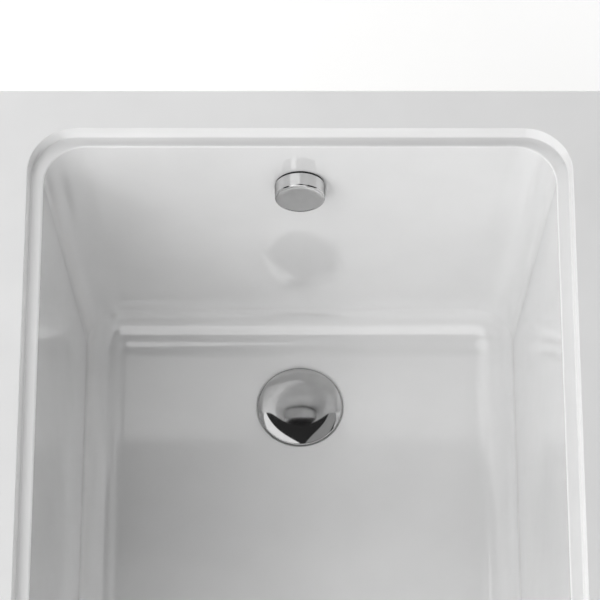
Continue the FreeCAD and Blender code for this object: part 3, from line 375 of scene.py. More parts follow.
def eased(corners, steps=5):
    """A flat line through corners (x, y, radius). Those with a radius are rounded; the two ends have none."""
    outline = []
    for i, (x, y, radius) in enumerate(corners):
        here = Vector((x, y))
        if not radius:
            outline.append(here)
            continue
        before = (Vector(corners[i - 1][:2]) - here).normalized()
        after = (Vector(corners[i + 1][:2]) - here).normalized()
        half = before.angle(after) / 2
        centre = here + (before + after).normalized() * (radius / math.sin(half))
        start = here + before * (radius / math.tan(half)) - centre
        end = here + after * (radius / math.tan(half)) - centre
        for k in range(steps + 1):
            outline.append(centre + start.slerp(end, k / steps))
    return outline


def turned(name, outline, centre, axis=UP, around=160):
    """A piece turned on the lathe from its outline: radius and height along its axis."""
    turn = Vector(axis).to_track_quat("Z", "Y")
    points = []
    for k in range(around):
        angle = 2 * math.pi * k / around
        for spot in outline:
            at = Vector((spot.x * math.cos(angle), spot.x * math.sin(angle), spot.y))
            points.append(Vector(centre) + turn @ at)
    size = len(outline)
    faces = []
    for k in range(around):
        a, b = k * size, (k + 1) % around * size
        faces += [(a + i, b + i, b + i + 1, a + i + 1) for i in range(size - 1)]
    piece = new_piece(name, points, faces)
    tidy = bmesh.new()
    tidy.from_mesh(piece.data)
    bmesh.ops.remove_doubles(tidy, verts=tidy.verts, dist=same_point_gap * MM)
    bmesh.ops.recalc_face_normals(tidy, faces=tidy.faces)
    tidy.to_mesh(piece.data)
    tidy.free()
    return piece


# Tub shell: one sheet formed over a mould

flat_columns = 8
hole_columns = 24
corner_steps = 14
backrest_rows = 8
backrest_bend_rows = 14
floor_rows = 24
toe_rows = 16
wall_rows_below = 5
wall_rows_knob = 12
wall_rows_above = 3
fall_steps = 60
ledge_edge_steps = 4
rim_bend_steps = 4
lip_bend_steps = 3
dish_steps = 8


def column_shares():
    """Across the basin: (side, part of the half width that is flat or of the rounding, is it flat)."""
    edge = drain_patch_half / (wall_top_x - wall_height * math.tan(side_lean) - floor_edge_radius)
    half = [k / hole_columns * 2 * edge for k in range(hole_columns // 2 + 1)]
    half += [edge + (1 - edge) * (k + 1) / flat_columns for k in range(flat_columns)]
    shares = [(-1, (k + 1) / corner_steps, False) for k in reversed(range(corner_steps))]
    shares += [(-1, u, True) for u in reversed(half[1:])]
    shares += [(1, u, True) for u in half]
    shares += [(1, (k + 1) / corner_steps, False) for k in range(corner_steps)]
    return shares


columns = column_shares()
on_foot_wall = Vector((0, -math.cos(foot_lean), math.sin(foot_lean)))


def lean_normal(angle):
    """A direction in the tub's long section, from +Y up."""
    return Vector((0, math.cos(angle), math.sin(angle)))


def floor_line(steeper_at_drain):
    """Points (y, height, fall) along the floor from the head end: an even fall, or steeper at the drain."""
    if not steeper_at_drain:
        return [(head_floor_y, floor_z + floor_fall, mean_fall), (foot_floor_y, floor_z, mean_fall)]
    pitch = (foot_floor_y - head_floor_y) / fall_steps
    near = drain_y - drain_fall_length / 2

    def share(y):
        t = min(max((near - y) / drain_fall_length + 0.5, 0), 1)
        return t * t * (3 - 2 * t)

    spots = [foot_floor_y - pitch * k for k in range(fall_steps + 1)]
    weights = [share(y) for y in spots]
    height = drain_floor_z - drain_from_foot_wall * math.tan(drain_fall)
    near_rise = sum((1 - w) * math.tan(drain_fall) * pitch for w in weights[1:])
    far_rise = floor_z + floor_fall - height - near_rise
    far_fall = math.atan(far_rise / sum(w * pitch for w in weights[1:]))
    line = []
    for k, (y, weight) in enumerate(zip(spots, weights)):
        slope = (1 - weight) * math.tan(drain_fall) + weight * math.tan(far_fall)
        height += slope * pitch if k else 0
        line.append((y, height, math.atan(slope)))
    return line[::-1]


def along(line, y):
    """Height and fall of the floor at y."""
    for (ya, za, fa), (yb, zb, fb) in zip(line, line[1:]):
        if ya <= y <= yb:
            t = (y - ya) / (yb - ya)
            return za + (zb - za) * t, fa + (fb - fa) * t
    return line[-1][1:] if y > line[-1][0] else line[0][1:]


def meeting(point_a, normal_a, point_b, normal_b, radius):
    """Centre of the ball that rolls where two straight lines of the section meet."""
    a = normal_a.dot(point_a) + radius
    b = normal_b.dot(point_b) + radius
    det = normal_a.y * normal_b.z - normal_a.z * normal_b.y
    return Vector((0, (a * normal_b.z - b * normal_a.z) / det, (normal_a.y * b - normal_b.y * a) / det))


class Section:
    """The basin's long section: the centres of a ball of the corner radius, and the walls' directions."""

    def __init__(self, steeper_at_drain):
        self.line = floor_line(steeper_at_drain)
        self.head = lean_normal(head_lean)
        self.foot = lean_normal(math.pi - foot_lean)
        head_fall, foot_fall = self.line[0][2], self.line[-1][2]
        self.near_head = lean_normal(math.pi / 2 - head_fall)
        self.near_foot = lean_normal(math.pi / 2 - foot_fall)
        head_top = Vector((0, -wall_top_y, ledge_z))
        foot_top = Vector((0, wall_top_y, ledge_z))
        head_end = Vector((0, self.line[0][0], self.line[0][1]))
        foot_end = Vector((0, self.line[-1][0], self.line[-1][1]))
        self.back = meeting(head_top, self.head, head_end, self.near_head, backrest_foot_radius)
        self.toe = meeting(foot_end, self.near_foot, foot_top, self.foot, floor_edge_radius)

    def back_centre(self, angle):
        """The ball's centre on the backrest's wide bend."""
        return self.back - lean_normal(angle) * (backrest_foot_radius - floor_edge_radius)

    def stations(self):
        """Rows of the basin from the head end: a name, then a centre and a normal, or a share of the wall."""
        rows = [("head", k / backrest_rows) for k in range(backrest_rows)]
        low, high = head_lean, math.pi / 2 - self.line[0][2]
        for k in range(backrest_bend_rows + 1):
            angle = low + (high - low) * k / backrest_bend_rows
            rows.append(("floor", self.back_centre(angle), lean_normal(angle)))
        start = self.back.y - self.near_head.y * backrest_foot_radius
        patch = drain_y - drain_patch_half
        for k in range(1, floor_rows + 1):
            rows.append(self.floor_row(start + (patch - start) * k / floor_rows))
        for k in range(1, hole_columns + 1):
            rows.append(self.floor_row(patch + 2 * drain_patch_half * k / hole_columns))
        low, high = math.pi / 2 - self.line[-1][2], math.pi - foot_lean
        for k in range(toe_rows + 1):
            angle = low + (high - low) * k / toe_rows
            rows.append(("floor", self.toe, lean_normal(angle)))
        knob_share = (knob_z - self.toe.z) / (ledge_z - self.toe.z)
        patch_share = knob_patch_half / (ledge_z - self.toe.z)
        low, high = knob_share - patch_share, knob_share + patch_share
        rows += [("foot", low * k / wall_rows_below) for k in range(1, wall_rows_below)]
        rows += [("foot", low + (high - low) * k / wall_rows_knob) for k in range(wall_rows_knob + 1)]
        rows += [("foot", high + (1 - high) * k / wall_rows_above) for k in range(1, wall_rows_above + 1)]
        return rows

    def floor_row(self, y):
        """The row of the basin at this place along the floor."""
        z, fall = along(self.line, y)
        normal = lean_normal(math.pi / 2 - fall)
        return ("floor", Vector((0, y, z)) + normal * floor_edge_radius, normal)


def ball_x(height):
    """Half width between the centres of the balls that round the long edges."""
    return wall_top_x - (ledge_z - height) * math.tan(side_lean) - floor_edge_radius / math.cos(side_lean)


def spot(section, row, column, depth):
    """A point of the basin's face, or of the sheet's back at a depth below it, and the normal there."""
    side, share, flat = column
    kind = row[0]
    normal = {"head": section.head, "foot": section.foot}.get(kind) or row[2]
    side_normal = Vector((-side * math.cos(side_lean), 0, math.sin(side_lean)))
    if not flat:
        normal = (-normal).slerp(-side_normal, share) * -1
    reach = floor_edge_radius + depth
    if kind == "floor":
        centre = row[1]
    else:
        if depth:
            top = ledge_z - acrylic + reach * normal.z
        else:
            top = ledge_z - ledge_edge_radius * (1 - normal.z) + reach * normal.z
        wall = section.head if kind == "head" else section.foot
        foot = section.back_centre(head_lean) if kind == "head" else section.toe
        climb = 1 - row[1] if kind == "head" else row[1]
        height = foot.z + (top - foot.z) * climb
        centre = foot + Vector((0, -wall.z, wall.y)) * ((height - foot.z) / wall.y)
    x = side * ball_x(centre.z) * (share if flat else 1)
    return Vector((x, centre.y, centre.z)) - normal * reach, normal


class Sheet:
    """Points, normals and faces of the shell while it is being made."""

    def __init__(self):
        self.points = []
        self.normals = []
        self.faces = []

    def add(self, point, normal):
        """Adds a point and returns its number."""
        self.points.append(point)
        self.normals.append(normal)
        return len(self.points) - 1

    def strip(self, ring_a, ring_b):
        """Joins two rings of the same count and returns the second."""
        for i in range(len(ring_a)):
            j = (i + 1) % len(ring_a)
            self.faces.append((ring_a[i], ring_a[j], ring_b[j], ring_b[i]))
        return ring_b


def window_loop(grid, rows, cols):
    """The grid points round a window, counter-clockwise from its first corner."""
    (r0, r1), (c0, c1) = rows, cols
    loop = [grid[r0][c] for c in range(c0, c1)]
    loop += [grid[r][c1] for r in range(r0, r1)]
    loop += [grid[r1][c] for c in range(c1, c0, -1)]
    loop += [grid[r][c0] for r in range(r1, r0, -1)]
    return loop


def basin_windows(rows):
    """Row and column ranges of the drain's and the overflow's windows."""
    middle = len(columns) // 2
    half = hole_columns // 2
    last_floor_row = max(i for i, row in enumerate(rows) if row[0] == "floor")
    drain_end = last_floor_row - (toe_rows + 1)
    knob_start = last_floor_row + wall_rows_below
    knob_half = round(knob_patch_half / drain_patch_half * half)
    return {
        "drain": ((drain_end - hole_columns, drain_end), (middle - half, middle + half)),
        "overflow": ((knob_start, knob_start + wall_rows_knob), (middle - knob_half, middle + knob_half)),
    }


def basin_face(sheet, steeper_at_drain, depth):
    """One face of the basin. Returns its top ring and the loops of its two windows."""
    section = Section(steeper_at_drain)
    rows = section.stations()
    grid = [[sheet.add(*spot(section, row, column, depth)) for column in columns] for row in rows]
    windows = basin_windows(rows)
    held = set()
    for (r0, r1), (c0, c1) in windows.values():
        held |= {(r, c) for r in range(r0, r1) for c in range(c0, c1)}
    for r in range(len(rows) - 1):
        for c in range(len(columns) - 1):
            if (r, c) not in held:
                sheet.faces.append((grid[r][c], grid[r][c + 1], grid[r + 1][c + 1], grid[r + 1][c]))
    sheet.faces.append([grid[r][0] for r in range(len(rows))])
    sheet.faces.append([grid[r][-1] for r in reversed(range(len(rows)))])
    loops = {name: window_loop(grid, *window) for name, window in windows.items()}
    return grid[0] + grid[-1][::-1], loops


def hole_ring(sheet, loop, centre, axis, radius, height, normal_tilt=0.0):
    """A round ring with one point for each point of the loop round it, seen along the axis."""
    ring = []
    for index in loop:
        flat = sheet.points[index] - centre
        flat -= axis * flat.dot(axis)
        way = flat.normalized()
        normal = axis * math.cos(normal_tilt) - way * math.sin(normal_tilt)
        ring.append(sheet.add(centre + way * radius + axis * height, normal))
    return ring


def outline_ring(half_x, half_y, radius, inset, height, normal_out, normal_up):
    """Points and normals round a rounded rectangle, one for each column of the head end and the foot end."""
    ring = []
    for end in (-1, 1):
        row = []
        for side, share, flat in columns:
            turn = 0.0 if flat else share * math.pi / 2
            out = Vector((side * math.sin(turn), end * math.cos(turn), 0))
            x = side * (half_x - radius) * (share if flat else 1)
            base = Vector((x, end * (half_y - radius), 0)) + out * (radius - inset)
            row.append((base + UP * height, out * normal_out + UP * normal_up))
        ring += row if end < 0 else row[::-1]
    return ring


def arc(centre_inset, centre_height, radius, start, end, sign, steps=rim_bend_steps):
    """A rounding of the rim's cross-section: (inset, height, outward part and upward part of the normal)."""
    spots = []
    for k in range(steps + 1):
        angle = math.radians(start + (end - start) * k / steps)
        out, high = math.cos(angle), math.sin(angle)
        spots.append((centre_inset - radius * out, centre_height + radius * high, out * sign, high * sign))
    return spots


def wall_onto_ledge(sheet, wall_ring):
    """The rounding where the walls turn onto the ledge."""
    last = wall_ring
    for k in range(1, ledge_edge_steps + 1):
        ring = []
        for index in wall_ring:
            wall = sheet.normals[index]
            normal = wall.slerp(UP, k / ledge_edge_steps)
            ring.append(sheet.add(sheet.points[index] + (normal - wall) * ledge_edge_radius, normal))
        last = sheet.strip(last, ring)
    return last


def carry_round(sheet, last, section, half_x, half_y, radius):
    """Carries the sheet on from a ring along a cross-section, all the way round a rounded rectangle."""
    for inset, height, out, high in section:
        spots = outline_ring(half_x, half_y, radius, inset, height, out, high)
        last = sheet.strip(last, [sheet.add(*spot) for spot in spots])
    return last


def step_section():
    """Across the step: its root on the ledge, then the inner edge of the deck."""
    lean = math.degrees(math.atan(step_run / step_height))
    tangent = math.tan(math.radians(90 - lean) / 2)
    root, edge = step_root_radius, step_edge_radius
    section = arc(step_run + root * tangent, ledge_z + root, root, 270, 360 - lean, -1)
    return section + arc(-edge * tangent, rim_height - edge, edge, 180 - lean, 90, 1)


def lip_section():
    """Across the outer edge of the deck and the turned-down lip, and up inside it to the deck's underside."""
    edge, low = lip_edge_radius, rim_height - rim_lip_height + lip_edge_radius
    section = arc(rim_edge_radius, rim_height - rim_edge_radius, rim_edge_radius, 90, 0, 1)
    section += arc(edge, low, edge, 0, -90, 1, lip_bend_steps)
    section += arc(acrylic - edge, low, edge, 270, 180, 1, lip_bend_steps)
    under = rim_height - acrylic
    return section + [(acrylic, under, -1, 0), (acrylic, under, 0, -1)]


def underside_section():
    """Across the underside of the deck, the step and the ledge."""
    deck_under, ledge_under = rim_height - acrylic, ledge_z - acrylic
    return [(-acrylic, deck_under, 0, -1), (-acrylic, deck_under, 1, 0),
            (step_run - acrylic, ledge_under, 1, 0), (step_run - acrylic, ledge_under, 0, -1)]


def dish_rings(sheet, loop, centre):
    """The formed dish round the waste: from the sloping floor down to a level seat."""
    last = [sheet.add(sheet.points[i], sheet.normals[i]) for i in loop]
    width = dish_lip_radius - dish_radius
    for k in range(dish_steps + 1):
        turn = math.pi * k / dish_steps
        sunk = (1 - math.cos(turn)) / 2
        tilt = math.atan(dish_depth * math.pi / 2 * math.sin(turn) / width)
        radius = dish_lip_radius - width * k / dish_steps
        ring = hole_ring(sheet, loop, centre, UP, radius, drain_floor_z - dish_depth * sunk, tilt)
        for index in ring:
            sheet.points[index].z -= math.tan(drain_fall) * (sheet.points[index].y - drain_y) * (1 - sunk)
        last = sheet.strip(last, ring)
    return last


def waste_hole(sheet, loop, back_loop):
    """The dish, the waste's hole and the level land under it."""
    centre = Vector((0, drain_y, 0))
    under = dish_z - acrylic

    def ring(radius, height, turn):
        return hole_ring(sheet, loop, centre, UP, radius, height, turn)

    sheet.strip(dish_rings(sheet, loop, centre), ring(waste_hole_radius, dish_z, 0.0))
    sheet.strip(ring(waste_hole_radius, dish_z, math.pi / 2), ring(waste_hole_radius, under, math.pi / 2))
    land = ring(waste_hole_radius, under, math.pi)
    sheet.strip(sheet.strip(land, ring(dish_lip_radius + acrylic / 2, under, math.pi)), back_loop)


def overflow_hole(sheet, loop, back_loop):
    """The overflow's hole through the foot wall."""
    centre = Vector((0, knob_y, knob_z))

    def ring(height, turn):
        return hole_ring(sheet, loop, centre, on_foot_wall, overflow_hole_radius, height, turn)

    sheet.strip(loop, ring(0.0, 0.0))
    sheet.strip(ring(0.0, math.pi / 2), ring(-acrylic, math.pi / 2))
    sheet.strip(ring(-acrylic, math.pi), back_loop)


def tub():
    """The whole shell. The sheet's back keeps an even fall, as the levelled skin under it does."""
    sheet = Sheet()
    face_ring, face_loops = basin_face(sheet, True, 0.0)
    back_ring, back_loops = basin_face(sheet, False, acrylic)
    opening = (opening_x, opening_y, opening_corner_radius)
    last = carry_round(sheet, wall_onto_ledge(sheet, face_ring), step_section(), *opening)
    last = carry_round(sheet, last, lip_section(), half_width, half_length, rim_corner_radius)
    last = carry_round(sheet, last, underside_section(), *opening)
    sheet.strip(last, [sheet.add(sheet.points[i], -UP) for i in back_ring])
    waste_hole(sheet, face_loops["drain"], back_loops["drain"])
    overflow_hole(sheet, face_loops["overflow"], back_loops["overflow"])
    dress(new_piece("tub", sheet.points, sheet.faces, sheet.normals), "tub_shell", smooth_faces=False)


# Drain cover: a nearly flat crown that rolls over to a thin rim, lying level with the floor round it

cover_radius = 53.9
cover_crown_edge = 32.5
cover_blend = 5.0
cover_crown_radius = 1700.0
cover_roll_radius = 62.0
cover_sheet = 2.0
cover_rim_height = 1.4
cover_floor_gap = 1.8
cover_rim_radius = 0.6
cover_roll_stop = 0.36
cover_rings = 54
cover_seat_rise = 2.8
cover_collar_radius = 9.0
cover_collar_edge = 0.5
cover_stem_radius = 5.0
cover_stem_length = 9.0
cover_stem_edge = 0.6


def cover_tilt(radius):
    """How far the cover leans at this radius: the crown's curve eases into the roll-over."""
    rolled = radius - cover_crown_edge
    if abs(rolled) < cover_blend:
        rolled = (rolled + cover_blend) ** 2 / (4 * cover_blend)
    return radius / cover_crown_radius + max(rolled, 0) / cover_roll_radius


def cover_outline():
    """The outer and inner line of the cover's section, from its crown to its rim."""
    pitch = (cover_radius - cover_roll_stop) / cover_rings
    outer, inner = [], []
    height = 0.0
    for k in range(cover_rings + 1):
        tilt = cover_tilt(k * pitch)
        here = Vector((k * pitch, height))
        outer.append(here)
        inner.append(here - cover_sheet * Vector((math.sin(tilt), math.cos(tilt))))
        height -= pitch * math.tan(cover_tilt((k + 0.5) * pitch))
    return outer, inner


def drain_cover():
    """The dome, leaning with the floor, and the upright stem with its collar, up into the dome."""
    outer, inner = cover_outline()
    drop = outer[-1].y
    low = drop - cover_rim_height
    half_edge = cover_rim_radius / 2
    rim = eased([(*outer[-1], 0), (cover_radius, drop, cover_rim_radius), (cover_radius, low, half_edge),
                 (cover_radius - cover_sheet, low, half_edge), (*inner[-1], 0)], steps=8)
    axis = Vector((0, math.sin(drain_fall), math.cos(drain_fall)))
    apex = Vector((0, drain_y, drain_floor_z)) + axis * (cover_floor_gap + cover_rim_height - drop)
    dress(turned("drain_cover_dome", outer[:-1] + rim + inner[-2::-1], apex, axis), "drain_cover")
    seat = drain_floor_z + cover_seat_rise
    low, roof = seat - cover_stem_length, apex.z - cover_sheet / 2
    stem = eased([(0, low, 0), (cover_stem_radius, low, cover_stem_edge), (cover_stem_radius, seat, 0),
                  (cover_collar_radius, seat, cover_collar_edge), (cover_collar_radius, roof, 0)])
    dress(turned("drain_cover_stem", stem, (0, drain_y, 0), around=48), "drain_cover")


# Overflow knob: a hollow cap, square to the foot wall, whose face rolls over in two bends into the side

knob_radius = 30.5
knob_length = 18.6
knob_wall_gap = 3.5
knob_face_roll = 9.3
knob_face_fall = math.radians(29)
knob_corner_radius = 2.4
knob_sheet = 2.0
knob_back_edge = 0.4
knob_boss_radius = 8.5
knob_boss_length = 8.6
wide_bend_steps = 10
tight_bend_steps = 12


def bend(centre, radius, start, end, steps):
    """Points of a rounding, between two angles from the piece's axis."""
    angles = [start + (end - start) * k / steps for k in range(steps + 1)]
    return [centre + radius * Vector((math.sin(angle), math.cos(angle))) for angle in angles]


def roll_over(radius, front, first, second, turn):
    """An outline's way from a flat front to a side of this radius: a wide bend, then a tight one."""
    shift = first - second
    centre = Vector((radius - second - shift * math.sin(turn), front - first))
    wide = bend(centre, first, 0.0, turn, wide_bend_steps)
    centre += shift * Vector((math.sin(turn), math.cos(turn)))
    return wide + bend(centre, second, turn, math.pi / 2, tight_bend_steps)[1:]


def overflow_knob():
    """The cap with its lining and the boss on its spindle, as one outline from the axis back to the axis."""
    back, bore = knob_wall_gap, knob_radius - knob_sheet
    front = back + knob_length
    inner = front - knob_sheet
    cap = roll_over(knob_radius, front, knob_face_roll, knob_corner_radius, knob_face_fall)
    lining = roll_over(bore, inner, knob_face_roll - knob_sheet, knob_corner_radius - knob_sheet,
                       knob_face_fall)
    rim = eased([(*cap[-1], 0), (knob_radius, back, knob_back_edge), (bore, back, knob_back_edge),
                 (*lining[-1], 0)])
    boss_end = inner - knob_boss_length
    boss = [Vector((knob_boss_radius, inner)), Vector((knob_boss_radius, boss_end)), Vector((0, boss_end))]
    outline = [Vector((0, front))] + cap + rim[1:-1] + lining[::-1] + boss
    knob = turned("overflow_turning_knob", outline, (0, knob_y, knob_z), on_foot_wall)
    # A brighter copy of the chrome: painted light that lifts the knob's reflection of the shaded wall beside it
    dress(knob, "overflow_knob", finish=polished_chrome("knob_chrome_painted_bright", "DCDCDC", "E4E4E4", 0.03, 0.05))


# Feet and fixings

foot_names = ["head_left", "head_right", "foot_left", "foot_right"]
thread_pitch = 1.75
thread_depth = 1.0
thread_flat_share = 1 / 6
thread_around = 28
thread_rows = 6
nut_across_flats = 19.0
nut_bore_play = 0.1
nut_bore_chamfer = 0.6
nut_chamfer = math.radians(30)
nut_face_share = 0.95
nut_around = 72


def foot_centre(foot):
    low, high = node_box("foot_stud_" + foot)
    return (low.x + high.x) / 2, (low.y + high.y) / 2


def upright_rings(centre, rings):
    """Points round an upright axis, from rings of (radius, height)."""
    points = []
    for ring in rings:
        for k, (reach, z) in enumerate(ring):
            angle = 2 * math.pi * k / len(ring)
            points.append(Vector((*centre, z)) + reach * Vector((math.cos(angle), math.sin(angle), 0)))
    return points


def threaded_rod(name, centre, low, high, radius):
    """A stud with a rolled thread: the crest climbs one pitch each turn, and both ends are chamfered."""
    rows = round((high - low) / thread_pitch * thread_rows)
    rings = []
    for r in range(rows + 1):
        z = low + (high - low) * r / rows
        taper = max(0.0, 1.0 - min(z - low, high - z) / thread_depth)
        ring = []
        for k in range(thread_around):
            off_crest = abs(2 * ((z / thread_pitch - k / thread_around) % 1.0) - 1)
            flank = min(1.0, max(0.0, (off_crest - thread_flat_share) / (1 - 2 * thread_flat_share)))
            ring.append((radius - thread_depth * max(flank, taper), z))
        rings.append(ring)
    points = [Vector((*centre, low))] + upright_rings(centre, rings) + [Vector((*centre, high))]
    top = len(points) - 1
    faces = []
    for k in range(thread_around):
        j = (k + 1) % thread_around
        faces.append((0, 1 + j, 1 + k))
        faces.append((top, top - thread_around + k, top - thread_around + j))
        for r in range(rows):
            a, b = 1 + r * thread_around, 1 + (r + 1) * thread_around
            faces.append((a + k, a + j, b + j, b + k))
    return new_piece(name, points, faces)


def nut_end(end, inward, bore):
    """Rings of one end of a nut, from its chamfered bore over the flat face to the turned-back corners."""
    flat = nut_across_flats / 2
    face = flat * nut_face_share
    corners = []
    for k in range(nut_around):
        turn = (2 * math.pi * k / nut_around) % (math.pi / 3) - math.pi / 6
        reach = flat / math.cos(turn)
        corners.append((reach, end + inward * (reach - face) * math.tan(nut_chamfer)))
    rounds = [(bore, end + inward * nut_bore_chamfer), (bore + nut_bore_chamfer, end), (face, end)]
    return [[spot] * nut_around for spot in rounds] + [corners]


def hex_nut_parts(centre, low, high, bore):
    """Points and faces of a hexagon nut."""
    rings = nut_end(low, 1, bore) + nut_end(high, -1, bore)[::-1]
    faces = []
    for r in range(len(rings)):
        a, b = r * nut_around, (r + 1) % len(rings) * nut_around
        for k in range(nut_around):
            j = (k + 1) % nut_around
            faces.append((a + k, a + j, b + j, b + k))
    return upright_rings(centre, rings), faces


def joined(name, parts):
    """One piece from several sets of points and faces."""
    points, faces = [], []
    for more_points, more_faces in parts:
        start = len(points)
        points += more_points
        faces += [tuple(start + i for i in face) for face in more_faces]
    return new_piece(name, points, faces)


def feet():
    """Four studs, each with its thread drawn."""
    for foot in foot_names:
        low, high = node_box("foot_stud_" + foot)
        stud = threaded_rod("threaded_stud_" + foot, foot_centre(foot), low.z, high.z, (high.x - low.x) / 2)
        dress(stud, "foot_stud_" + foot, smooth_faces=False, finish=finishes["zinc_plate"])


def nuts(node, name):
    """The four nuts of one node, on the four studs."""
    low, high = node_box(node)
    stud_low, stud_high = node_box("foot_stud_head_left")
    bore = (stud_high.x - stud_low.x) / 2 + nut_bore_play
    dress(joined(name, [hex_nut_parts(foot_centre(foot), low.z, high.z, bore) for foot in foot_names]), node)


tub()
drain_cover()
overflow_knob()
feet()
nuts("rail_nuts", "hexagon_rail_nuts")
nuts("lock_nuts", "hexagon_lock_nuts")


# Everything that keeps its CAD shape gets its finish, and edges as soft as its trade leaves them

edge_rounding = {
    "acrylic": 0.5, "glass_fibre": 0.0, "board": 0.8, "timber": 1.5, "galvanised_steel": 0.4,
    "zinc_plate": 0.3, "stainless_steel": 0.2, "chrome": 0.2, "brass": 0.2, "white_plastic": 0.5, "grey_plastic": 0.5,
    "grey_hose": 0.3, "cable_sheath": 0.0, "black_plastic": 0.4, "black_rubber": 0.3,
}
weld_gap = 0.002
eased_edge_angle = math.radians(40)


def finish_node(node, slot):
    """Gives a CAD node its finish and its eased edges."""
    shape = frame["nodes"][node]
    shape.data.materials.clear()
    shape.data.materials.append(finishes[slot])
    weld = shape.modifiers.new("joined_faces", "WELD")
    weld.merge_threshold = weld_gap * MM
    if edge_rounding[slot]:
        bevel = shape.modifiers.new("eased_edges", "BEVEL")
        bevel.width = edge_rounding[slot] * MM
        bevel.segments = 2
        bevel.limit_method = "ANGLE"
        bevel.angle_limit = eased_edge_angle
    shading = shape.modifiers.new("even_shading", "WEIGHTED_NORMAL")
    shading.keep_sharp = True


for node, slot in node_slots.items():
    finish_node(node, slot)


# Floor, light and camera

ceiling_height = 3000.0
wall_box_distance = 4000.0
wall_box_aim = 450.0
floor_reach = 3800.0
floor_sides = 96
floor_glow = 0.56
wall_glow = 0.7
ceiling_glow = 0.035
wall_foot, wall_head = 0.04, 0.22
camera_place = Vector((0, -1157.5, 4297.0))
camera_tilt = math.radians(25)
camera_lens = 210.0


def stage_floor():
    """A pale floor inside the ring of soft boxes. It glows a little, so it stays pale where they fade."""
    material, tree, shader, place = finish_of("studio_floor_paint", "C2C2C2", 0.85)
    shader.inputs["Emission Color"].default_value = linear("FFFFFF")
    shader.inputs["Emission Strength"].default_value = floor_glow
    speck = add(tree, "ShaderNodeTexNoise", {"Vector": place, "Scale": per_metre(400)}).outputs["Fac"]
    tree.links.new(shades(tree, speck, "C0C0C0", "C4C4C4", 0.3, 0.7), shader.inputs["Base Color"])
    turns = [2 * math.pi * k / floor_sides for k in range(floor_sides)]
    points = [Vector((floor_reach * math.cos(turn), floor_reach * math.sin(turn), 0)) for turn in turns]
    floor = new_piece("studio_floor", points, [tuple(range(floor_sides))])
    floor.data.materials.append(material)


def softbox(name, corner, along_edge, across_edge, glow, mirrored):
    """A soft light: a rectangle from a corner and two edges, shining inwards. Gloss may mirror it or not."""
    lamp = bpy.data.lights.new(name, "AREA")
    lamp.shape = "RECTANGLE"
    lamp.size = along_edge.length * MM
    lamp.size_y = across_edge.length * MM
    lamp.energy = glow * math.pi * lamp.size * lamp.size_y
    holder = bpy.data.objects.new(name, lamp)
    holder.visible_glossy = mirrored
    bpy.context.scene.collection.objects.link(holder)
    centre = corner + (along_edge + across_edge) / 2
    along_way, across_way = along_edge.normalized(), across_edge.normalized()
    back = along_way.cross(across_way)
    if back.dot(centre - Vector((0, drain_y, rim_height))) < 0:
        across_way, back = -across_way, -back
    turn = Matrix((along_way, across_way, back)).transposed()
    holder.matrix_world = Matrix.Translation(centre * MM) @ turn.to_4x4()


def ceiling_box(name, start, end, width, glow):
    """A box under the ceiling. One edge runs between two directions from the drain, each run over rise."""
    middle = Vector((0, drain_y, floor_z))
    corner = middle + Vector((*start, 1.0)) * ceiling_height
    edge = Vector((end[0] - start[0], end[1] - start[1], 0)) * ceiling_height
    side = Vector((-edge.y, edge.x, 0)).normalized() * width * ceiling_height
    softbox(name, corner, edge, side, glow, True)


def wall_box(name, bearing, low, high, spread, glow, mirrored=False):
    """A box that stands round the tub at a bearing, between two elevations, in degrees."""
    middle = Vector((0, wall_box_aim, rim_height))
    turn, rise, half = math.radians(bearing), math.radians((low + high) / 2), math.radians((high - low) / 2)
    way = Vector((math.cos(rise) * math.cos(turn), math.cos(rise) * math.sin(turn), math.sin(rise)))
    side = Vector((-math.sin(turn), math.cos(turn), 0))
    across = way.cross(side) * (2 * wall_box_distance * math.tan(half))
    edge = side * (2 * wall_box_distance * math.tan(math.radians(spread / 2)) * math.cos(rise))
    softbox(name, middle + way * wall_box_distance - (edge + across) / 2, edge, across, glow, mirrored)


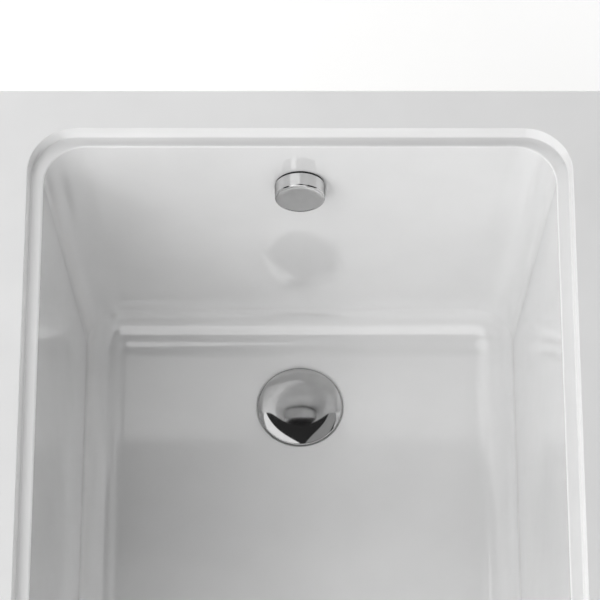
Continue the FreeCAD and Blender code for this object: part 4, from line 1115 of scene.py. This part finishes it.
def studio_world():
    """White to the camera. It lights and is mirrored as a dark ceiling over walls that are pale low down."""
    world = bpy.data.worlds.new("studio")
    world.use_nodes = True
    tree = world.node_tree
    tree.nodes.clear()
    toward = add(tree, "ShaderNodeTexCoord").outputs["Generated"]
    height = add(tree, "ShaderNodeSeparateXYZ", {"Vector": toward}).outputs["Z"]
    wall = add(tree, "ShaderNodeMapRange", {"Value": height, "From Min": wall_foot, "From Max": wall_head,
                                            "To Min": wall_glow, "To Max": ceiling_glow}).outputs["Result"]
    dim = add(tree, "ShaderNodeBackground", {"Color": linear("FFFFFF"), "Strength": wall})
    pale = add(tree, "ShaderNodeBackground", {"Color": linear("FFFFFF"), "Strength": 1.0})
    seen = add(tree, "ShaderNodeLightPath").outputs["Is Camera Ray"]
    both = add(tree, "ShaderNodeMixShader", {0: seen, 1: dim.outputs[0], 2: pale.outputs[0]})
    add(tree, "ShaderNodeOutputWorld", {"Surface": both.outputs[0]})
    bpy.context.scene.world = world


def studio_light():
    """A key and a weaker box overhead, and boxes all round that light the walls of the basin evenly."""
    ceiling_box("key_left_ceiling", (0.02, -0.31), (-0.52, 0.46), 0.8, 1.2)
    ceiling_box("right_ceiling", (0.31, 0.62), (0.10, -0.28), 0.4, 0.36)
    wall_box("back_high", 262, 12, 44, 60, 1.35, True)
    wall_box("far", 90, 3, 48, 44, 3.8)
    wall_box("left_low", 180, 3, 25, 44, 1.35)
    wall_box("left_high", 180, 26, 48, 44, 1.0)
    wall_box("back_left_low", 225, 3, 25, 44, 1.3)
    wall_box("back_left_high", 225, 26, 48, 44, 3.5)
    wall_box("back_low", 270, 3, 14, 60, 2.0)
    wall_box("back_right", 315, 3, 48, 44, 0.2)


def camera():
    """The photograph's view: from high up beyond the head end, looking down 65 degrees at the drain's end."""
    lens = bpy.data.cameras.new("camera")
    lens.lens = camera_lens
    lens.sensor_width = 36.0
    lens.clip_end = 100.0
    holder = bpy.data.objects.new("camera", lens)
    holder.location = camera_place * MM
    holder.rotation_euler = (camera_tilt, 0, 0)
    bpy.context.scene.collection.objects.link(holder)
    bpy.context.scene.camera = holder


stage_floor()
studio_world()
studio_light()
camera()
bpy.context.scene.view_settings.view_transform = "Standard"
